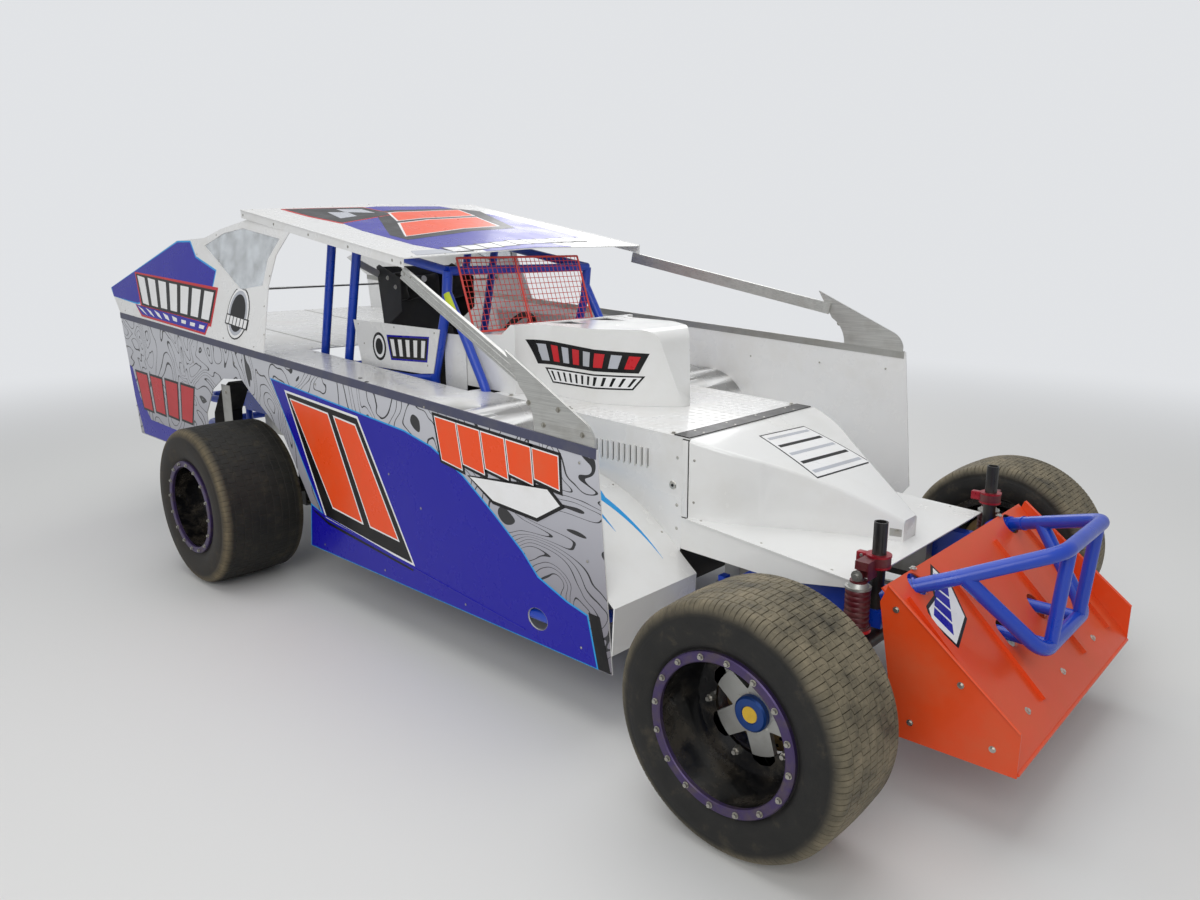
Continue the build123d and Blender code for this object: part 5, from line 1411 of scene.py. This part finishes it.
def ridged(radius, length, turns, depth):
    """A wrapped tube: a section with one ridge for each turn, spun about Z."""
    section = [(0.001, 0), (radius - depth, 0)]
    for i in range(turns):
        section += [(radius, (i + 0.3) * length / turns), (radius, (i + 0.7) * length / turns),
                    (radius - depth, (i + 1) * length / turns)]
    section.append((0.001, length))
    shape = spun(section, 32)
    bmesh.ops.rotate(shape, verts=shape.verts, cent=(0, 0, 0), matrix=Matrix.Rotation(math.pi / 2, 3, "X"))
    return shape


def dress_shock(whole, side):
    """Boot, bands, spring perch, cap and eye of a shock."""
    length = SHOCK_HEAD - SHOCK_FOOT
    foot = Matrix.Translation(spot(SHOCK_AT[0], side * SHOCK_AT[1], SHOCK_FOOT))

    def up(share, more=0.0):
        return foot @ Matrix.Translation((0, 0, length * share)) @ Matrix.Translation((0, 0, more))

    put_in(whole, ridged(BOOT_R, length * 0.44, BOOT_TURNS, BOOT_GROOVE), "dark_red_boot", [up(0.40)])
    for band in (0.385, 0.845):
        put_in(whole, stub(BOOT_R + 0.001, 0.006, 32), "mill_aluminium", [up(band)])
    put_in(whole, stub(0.041, 0.008, 28, 0.97), "red_vinyl", [up(0.345)])
    put_in(whole, stub(0.030, 0.018, 28, 0.72), "mill_aluminium", [up(0.865)])
    put_in(whole, stub(0.0135, 0.014, 20), "mill_aluminium", [up(0.865, 0.018)])
    eye, head = (facing(spot(SHOCK_AT[0], side * (SHOCK_AT[1] + out), SHOCK_HEAD), (0, side, 0))
                 for out in (0.0125, 0.0185))
    put_in(whole, stub(0.0165, 0.004, 24, 0.94), "mill_aluminium", [eye])
    put_in(whole, stub(0.0100, 0.006, 16), "black_powder_coat", [eye])
    bolts(whole, [head], "mill_aluminium", 0.008)


def dress_post(whole, side):
    """The clamp's two rings and split ear, and the cap and slits at a post's top."""
    post = spot(POST_AT[0], side * POST_AT[1], 0)
    for z in (0.6135, 0.6445):
        put_in(whole, stub(0.0345, 0.006, 32), "red_anodising", [Matrix.Translation(post + Vector((0, 0, z)))])
    ear = brick(post + Vector((-0.062, -0.011, 0.6185)), post + Vector((-0.030, 0.011, 0.6470)), 0.002)
    put_in(whole, ear, "red_anodising")
    for z in (0.625, 0.639):
        screw = facing(post + Vector((-0.046, side * 0.011, z)), (0, side, 0))
        put_in(whole, stub(0.0048, 0.004, 12, 0.85), "mill_aluminium", [screw])
    top = Matrix.Translation(post + Vector((0, 0, 0.648)))
    put_in(whole, stub(0.0200, 0.004, 28, 0.96), "black_powder_coat", [top])
    for i in range(4):
        turn = 0.8 + i * math.pi / 2
        slit = post + Vector((SLIT_AT * math.cos(turn), SLIT_AT * math.sin(turn), 0.655))
        low, high = Vector((-SLIT_HALF, -SLIT_HALF, 0)), Vector((SLIT_HALF, SLIT_HALF, 0.085))
        put_in(whole, brick(slit + low, slit + high, 0.0004), "black_powder_coat")


for hand, side in HANDS:
    whole = bmesh.new()
    dress_shock(whole, side)
    dress_post(whole, side)
    finished(f"front_{hand}_shock_dress", whole, "chassis")

# %% Collars of the bumper
COLLARS = ((0.060, 0.030, 0.0245), (0.092, 0.006, 0.0258), (0.148, 0.006, 0.0232))

whole = bmesh.new()
for side in SIDES:
    start, bend = spot(2.893, side * 0.411, 0.535), spot(3.060, side * 0.330, 0.600)
    run = (bend - start).normalized()
    for reach, length, radius in COLLARS:
        ends = [start + run * reach, start + run * (reach + length)]
        put_in(whole, rod(ends, radius, 24, Vector((0, 0, 1))), "blue_powder_coat")
    under = start + run * 0.075 + Vector((0, 0, -0.0245))
    bolts(whole, [facing(under, (0, 0, -1))], "zinc_plate", 0.007)
finished("bumper_collars", whole, "chassis")

# %% [markdown]
# ## Cockpit, posts and decks
# The door plates are riveted and carry a small sign. The posts end in gussets held by bolts, and
# the rear deck is riveted to the sheets round it. A strip of yellow tape marks the right pillar.

# %% Dress the door plates and the posts
DOOR_RIVETS = [(0.400, 1.05), (0.360, 1.135), (0.925, 1.128), (0.870, 0.990), (0.640, 1.135)]
DISC_AT = (0.520, 1.045)
DISC_RINGS = (((0.052, 0.062), "black_vinyl"), ((0.040, 0.050), "white_vinyl"), ((0.028, 0.036), "black_vinyl"))
RIBBON = [(0.590, 1.092), (0.880, 1.102), (0.862, 1.010), (0.612, 1.000)]
GUSSET_BOLTS = ((0.225, 0.030), (0.060, 0.022), (0.300, 0.085), (0.160, 0.085))
POST_RIVETS = [(1.085, 1.372), (1.13, 1.362)]
POST_LEFT_RISE = 0.040

layers = [(oval(DISC_AT, radii, 24), 1 + i, finish) for i, (radii, finish) in enumerate(DISC_RINGS)]
layers += bordered(RIBBON, 0.008, 1, "royal_blue_vinyl", "black_vinyl")
layers += [(grown(block, -0.010), 3, "white_vinyl") for block in cells(RIBBON, 5, 0.08)]
whole = bmesh.new()
for side in SIDES:
    door = from_side("door_plates", side)
    rivets(whole, seated(door, DOOR_RIVETS))
    lay_all(whole, layers, door)
finished("door_plate_sign", whole, "chassis")

whole = bmesh.new()
for side, front, lift, cap_lift in ((RIGHT, RIGHT_FRONT, 0.0, 0.0), (LEFT, LEFT_FRONT, LEFT_RISE, POST_LEFT_RISE)):
    post = from_side("roof_posts", side)
    knee = hem(front - 0.2) + lift
    bolts(whole, seated(post, [(front - back, knee + up) for back, up in GUSSET_BOLTS]), "zinc_plate")
    rivets(whole, seated(post, [(x, z + cap_lift) for x, z in POST_RIVETS]), radius=0.006)
finished("post_bolts", whole, "chassis")

# %% Rivet the rear deck and tape the pillar
DECK_SIDE_STATIONS = (-1.40, -1.15, -0.90, -0.65, -0.40, -0.15, 0.10, 0.35, 0.60, 0.85, 1.10)
DECK_INNER_STATIONS = (0.05, 0.30, 0.55, 0.80, 1.05)
DECK_CAPS = [(0.708, -0.646), (0.789, -0.668)]
SEAM_YS = (-0.30, 0.30)
PILLAR_R = 0.019
PILLAR = [spot(0.996, -0.4, 1.287), spot(1.073, -0.4, 1.158)]

whole = bmesh.new()
deck = from_above("rear_deck")
heads = [(x, side * 0.775) for side in SIDES for x in DECK_SIDE_STATIONS]
heads += [(x, side * 0.475) for side in SIDES for x in DECK_INNER_STATIONS]
heads += along((-0.075, -0.42), (-0.075, 0.42), 7) + along((-1.43, -0.7), (-1.43, 0.7), 9)
rivets(whole, seated(deck, heads))
put_in(whole, stub(0.009, 0.0014, 14), "black_vinyl", seated(deck, DECK_CAPS))
for y in SEAM_YS:
    ends = [Vector((station(x), y, deck(x, y)[0].z)) for x in (-1.44, -0.06)]
    put_in(whole, strip(ends, 0.0012, -0.004, 0.004, Vector((0, 0, 1)), 0.0004), "mill_aluminium")
finished("deck_rivets", whole, "chassis")

whole = bmesh.new()
turns = [math.radians(-50 + i * 10) for i in range(11)]
band = [((PILLAR_R + 0.0010) * math.cos(a), (PILLAR_R + 0.0010) * math.sin(a)) for a in turns]
band += [((PILLAR_R + 0.0003) * math.cos(a), (PILLAR_R + 0.0003) * math.sin(a)) for a in reversed(turns)]
put_in(whole, swept(band, PILLAR, Vector((0.5, -1, 0)).normalized()), "yellow_tape")
finished("pillar_tape", whole, "chassis")

# %% [markdown]
# ## Sheets that close the body
# Ahead of the rear deck's solid the deck runs on beside the engine and bends down to the pod's edge.
# An upright sheet closes each side of the cowl, and a small plate closes the open tip of the nose.
# The bent sheet is a flat section swept along the bend, so it keeps its thickness all the way.

# %% Fold the closing sheets
DECK_DROP = 0.041
DECK_OUTER_Y = 0.795
DECK_INNER = ((RIGHT, 0.3955), (LEFT, 0.3705))
DECK_BEND = [(1.420, hem(1.420) - DECK_DROP), (1.555, 0.862), (1.645, 0.717)]
DECK_SHEET = 0.0015
COWL_SIDE_Y = 0.378

whole = bmesh.new()
for side, inner in DECK_INNER:
    half = (DECK_OUTER_Y - inner) / 2
    profile = [(1.170, hem(1.170) - DECK_DROP)] + arc(*DECK_BEND, 10) + [DECK_BEND[2]]
    path = [spot(x, side * (inner + half), z) for x, z in profile]
    put_in(whole, strip(path, 0, -half, half, Vector((0, 0, 1)), DECK_SHEET), "white_enamel")
    for y in (inner + 0.02, 0.775):
        rivets(whole, [facing(spot(x, side * y, hem(x) - DECK_DROP), (0, 0, 1)) for x in (1.20, 1.40)])
    ys = (side * COWL_SIDE_Y - 0.001, side * COWL_SIDE_Y + 0.001)
    put_in(whole, brick(spot(0.930, ys[0], 0.900), spot(1.070, ys[1], 1.125), 0.0004), "white_enamel")
put_in(whole, brick(spot(2.786, -0.041, 0.566), spot(2.790, 0.041, 0.632), 0.0015), "white_enamel")
finished("closing_sheets", whole, "chassis")

# %% [markdown]
# ## Rear wheel arches
# In each rear arch hangs a black inner liner against thrown clay, with a grey bracket sheet that
# stays it. The liner is a thin sheet swept along the arch. The bracket is a flat sheet cut by hand, so
# a plain brick with small rounded edges is true to it.

# %% Line the arches
LINER = ((-0.445, 0.50), (-0.425, 0.68), (-0.335, 0.795), (-0.235, 0.850), (-0.040, 0.866))
LINER_Y = 0.776
LINER_DEPTH = 0.14
BRACKET_Y = 0.785

whole = bmesh.new()
for side in SIDES:
    well = [spot(x, side * LINER_Y, z) for x, z in LINER]
    put_in(whole, strip(well, 0, -0.001, 0.001, Vector((0, side, 0)), LINER_DEPTH), "grip_rubber")
    bracket = brick(spot(-0.300, side * BRACKET_Y, 0.60), spot(-0.210, side * (BRACKET_Y - 0.003), 0.835), 0.001)
    put_in(whole, bracket, "mill_aluminium")
    seats = [facing(spot(-0.255, side * BRACKET_Y, z), (0, side, 0)) for z in (0.80, 0.64)]
    bolts(whole, seats, radius=0.007)
finished("arch_liners", whole, "chassis")

# %% [markdown]
# ## Seat pads
# The seat is a folded aluminium bucket with loose pads of foam in black nylon cloth. A pad could be a
# rounded block, but foam swells between its seams, so each is remeshed evenly and blown up a little
# as cloth with no gravity. How far a point may move is capped, so that a pad stays in its shell.

# %% Woven nylon
WEAVE_MM = 4
BANDS_IN_SCALE = 20


def nylon_cloth():
    """Black nylon with a plain weave, drawn coarser than the real thread so that it shows."""
    made, tree, shader, place = new_material("black_woven_nylon")
    weave = add(tree, "ShaderNodeTexWave", {"Vector": place, "Scale": per_metre(WEAVE_MM) / BANDS_IN_SCALE,
                                            "Distortion": 0.4}, wave_type="BANDS", bands_direction="DIAGONAL")
    fade = add(tree, "ShaderNodeTexNoise", {"Vector": place, "Scale": per_metre(60), "Detail": 6.0})
    tone = add(tree, "ShaderNodeValToRGB", {0: fade.outputs["Fac"]}, stops=[(0.35, "141416"), (0.75, "35322d")])
    relief = add(tree, "ShaderNodeBump",
                 {"Height": weave.outputs["Fac"], "Strength": 0.4, "Distance": RELIEF})
    give(tree, shader, {"Base Color": tone.outputs[0], "Normal": relief.outputs[0], "Roughness": 0.85,
                        "Sheen Weight": 0.25})
    return made


FINISH["black_woven_nylon"] = nylon_cloth()

# %% Blow up the pads
PAD_VOXEL = 0.006
PAD_ROUNDING = 0.014
PAD_PRESSURE = 4
PAD_CAP = 0.009
PAD_FRAMES = 20
BACK_FOOT = (0.345, 0.530)
BACK_SLOPE = math.atan2(0.125, 0.860)


def evaluated(piece):
    """A plain mesh of what a piece's modifiers make of it."""
    return bpy.data.meshes.new_from_object(piece.evaluated_get(bpy.context.evaluated_depsgraph_get()))


def swollen(piece):
    """Runs the cloth simulation on a piece and returns its mesh, each point moved no more than the cap."""
    rest = [corner.co.copy() for corner in piece.data.vertices]
    cloth = piece.modifiers.new("swell", "CLOTH")
    cloth.settings.use_pressure = True
    cloth.settings.uniform_pressure_force = PAD_PRESSURE
    cloth.settings.effector_weights.gravity = 0
    for frame_number in range(1, PAD_FRAMES + 1):
        bpy.context.scene.frame_set(frame_number)
    mesh = evaluated(piece)
    piece.modifiers.clear()
    for corner, start in zip(mesh.vertices, rest):
        move = corner.co - start
        if move.length > PAD_CAP:
            corner.co = start + move.normalized() * PAD_CAP
    bpy.context.scene.frame_set(1)
    return mesh


def pad(name, low, high, place):
    """A foam pad between two corners, put in place and swollen."""
    shape = brick(low, high, PAD_ROUNDING)
    bmesh.ops.transform(shape, matrix=place, verts=shape.verts)
    bmesh.ops.recalc_face_normals(shape, faces=shape.faces)
    piece = new_object(name, mesh_of(shape, name))
    remesh = piece.modifiers.new("even", "REMESH")
    remesh.mode = "VOXEL"
    remesh.voxel_size = PAD_VOXEL
    piece.data = evaluated(piece)
    piece.modifiers.clear()
    piece.data = swollen(piece)
    piece.data.materials.clear()
    piece.data.materials.append(FINISH["black_woven_nylon"])
    for face in piece.data.polygons:
        face.use_smooth = True
    smooth = piece.modifiers.new("round", "SUBSURF")
    smooth.levels = smooth.render_levels = 1
    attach(piece, "chassis")
    print(name, len(piece.data.polygons), "faces")


leaning = Matrix.Translation(spot(BACK_FOOT[0], 0, BACK_FOOT[1])) @ Matrix.Rotation(-BACK_SLOPE, 4, "Y")
pad("seat_cushion", spot(0.440, -0.185, 0.452), spot(0.755, 0.185, 0.484), Matrix())
pad("seat_back_pad", (0.014, -0.160, 0.040), (0.044, 0.160, 0.560), leaning)
pad("head_pad", (0.014, -0.105, 0.690), (0.046, 0.105, 0.820), leaning)
for hand, side in HANDS:
    inner, outer = sorted((side * 0.135, side * 0.198))
    pad(f"head_bolster_{hand}", (0.020, inner, 0.690), (0.120, outer, 0.820), leaning)

# %% Fit the seat
SEAT_BOLTS = [(0.36, 1.29), (0.30, 1.33), (0.50, 0.80), (0.46, 0.62), (0.70, 0.50)]

whole = bmesh.new()
put_in(whole, stub(0.016, 0.003, 24, 0.9), "white_vinyl", [leaning @ facing((0.0555, 0, 0.790), (1, 0, 0))])
for side in SIDES:
    bolts(whole, seated(from_side("seat", side), SEAT_BOLTS), radius=0.007)
    brace = [spot(0.235, side * 0.2175, 1.345), spot(0.190, side * 0.300, 1.400)]
    put_in(whole, strip(brace, 0.002, -0.016, 0.016, Vector((1, 0, 0)), 0.002), "mill_aluminium")
finished("seat_fittings", whole, "chassis")

# %% [markdown]
# ## Small trim on the panels
# Screws hold the panels to the frame, a pressed fold stiffens the sill, and the front corner is black.

# %% Trim the panels
FRONT_CORNER = [(2.152, 0.386), (2.198, 0.384), (2.242, 0.2125), (2.192, 0.2125)]
SILL_FOLD = ((0.478, 0.352), (1.240, 0.300), (1.860, 0.242))
FRONT_SCREWS = [(1.115, 0.640), (1.310, 0.545), (0.62, 0.93), (1.36, 0.925), (2.12, 0.85), (2.15, 0.55), (2.12, 0.26),
                (1.55, 0.24), (1.05, 0.24), (0.60, 0.24)]
REAR_SCREWS = [(-1.43, 0.93), (-1.40, 0.60), (-0.90, 0.50), (-0.55, 0.92), (-0.10, 0.955), (0.12, 0.93)]

for hand, side in HANDS:
    find = on_panel(f"{hand}_side_panel", side)
    whole = bmesh.new()
    lay(whole, FRONT_CORNER, find, 4, "black_vinyl")
    fold = [find(x, z)[0] + Vector((0, side * 0.0012, 0)) for x, z in SILL_FOLD]
    put_in(whole, rod(fold, 0.0032, 8, Vector((0, side, 0))), "royal_blue_vinyl")
    rivets(whole, seated(find, FRONT_SCREWS, 0.0024))
    rivets(whole, seated(find, REAR_SCREWS, 0.0012))
    if side == LEFT:
        inside = [spot(x, side * (PANEL_Y - SHEET), 0.98) for x in (1.30, 1.65, 2.00, 2.30)]
        rivets(whole, [facing(at, (0, -side, 0)) for at in inside])
    finished(f"{hand}_panel_trim", whole, "chassis")

# %% [markdown]
# ## Floor and light
# A pale floor that reaches past the picture on every side, and soft light from large areas, as in a
# photo studio. The background is pale to the camera and through glass, and dimmer in gloss, so that
# it adds no light to the car and leaves the paint its colour at a low angle.

# %% Floor, world and lamps
FLOOR_SIZE = 60
SKY_HEX = "f1f3f6"
SKY_SEEN = 0.86
SKY_LIGHT = 0.46
GLOSS_SHARE = 0.4
NEAR_FLOOR = 3.2
FAR_FLOOR = 9


def rays_that_show(tree):
    """A socket that is 1 for the camera's rays and those through glass, and a share of it for gloss."""
    rays = add(tree, "ShaderNodeLightPath")
    gloss = add(tree, "ShaderNodeMath", {0: rays.outputs["Is Glossy Ray"], 1: GLOSS_SHARE}, operation="MULTIPLY")
    seen = add(tree, "ShaderNodeMath", {0: rays.outputs["Is Camera Ray"], 1: gloss.outputs[0]}, operation="MAXIMUM")
    shown = add(tree, "ShaderNodeMath", {0: seen.outputs[0], 1: rays.outputs["Is Transmission Ray"]},
                operation="MAXIMUM")
    return shown.outputs[0]


bpy.ops.mesh.primitive_plane_add(size=FLOOR_SIZE)
floor = bpy.context.object
floor.name = "studio_floor"
floor_material, floor_tree, floor_shader, floor_place = new_material("pale_matt_floor")
give(floor_tree, floor_shader, {"Base Color": linear("dcdcda"), "Roughness": 0.6})
far_off = add(floor_tree, "ShaderNodeVectorMath", {0: floor_place}, operation="LENGTH")
fade = add(floor_tree, "ShaderNodeMapRange", {"Value": far_off.outputs["Value"], "From Min": NEAR_FLOOR,
                                              "From Max": FAR_FLOOR}, interpolation_type="SMOOTHSTEP")
share = add(floor_tree, "ShaderNodeMath", {0: fade.outputs[0], 1: rays_that_show(floor_tree)}, operation="MULTIPLY")
backdrop = add(floor_tree, "ShaderNodeEmission", {"Color": linear(SKY_HEX), "Strength": SKY_SEEN})
blended = add(floor_tree, "ShaderNodeMixShader", {0: share.outputs[0], 1: floor_shader.outputs[0],
                                                  2: backdrop.outputs[0]})
give(floor_tree, floor_tree.nodes["Material Output"], {"Surface": blended.outputs[0]})
floor.data.materials.append(floor_material)

world = bpy.data.worlds.new("studio")
bpy.context.scene.world = world
world.use_nodes = True
sky = world.node_tree
level = add(sky, "ShaderNodeMapRange", {"Value": rays_that_show(sky), "To Min": SKY_LIGHT, "To Max": SKY_SEEN})
give(sky, sky.nodes["Background"], {"Color": linear(SKY_HEX), "Strength": level.outputs[0]})

# %% Lamps
LAMPS = (
    # name, place, where it looks, size in metres, power in watts
    ("overhead", (0, 0, 5.5), (0, 0, 0), 6, 165),
    ("camera_side", (3.5, -5.5, 3.8), (0.2, 0, 0.5), 4, 150),
    ("far_side", (-3, 5, 4), (0, 0, 0.5), 4, 90),
)
for name, at, towards, size, power in LAMPS:
    data = bpy.data.lights.new(name, "AREA")
    data.size = size
    data.energy = power
    lamp = new_object(name, data)
    lamp.location = at
    lamp.rotation_euler = (Vector(towards) - Vector(at)).to_track_quat("-Z", "Y").to_euler()

# %% View settings
bpy.context.scene.view_settings.view_transform = "Standard"
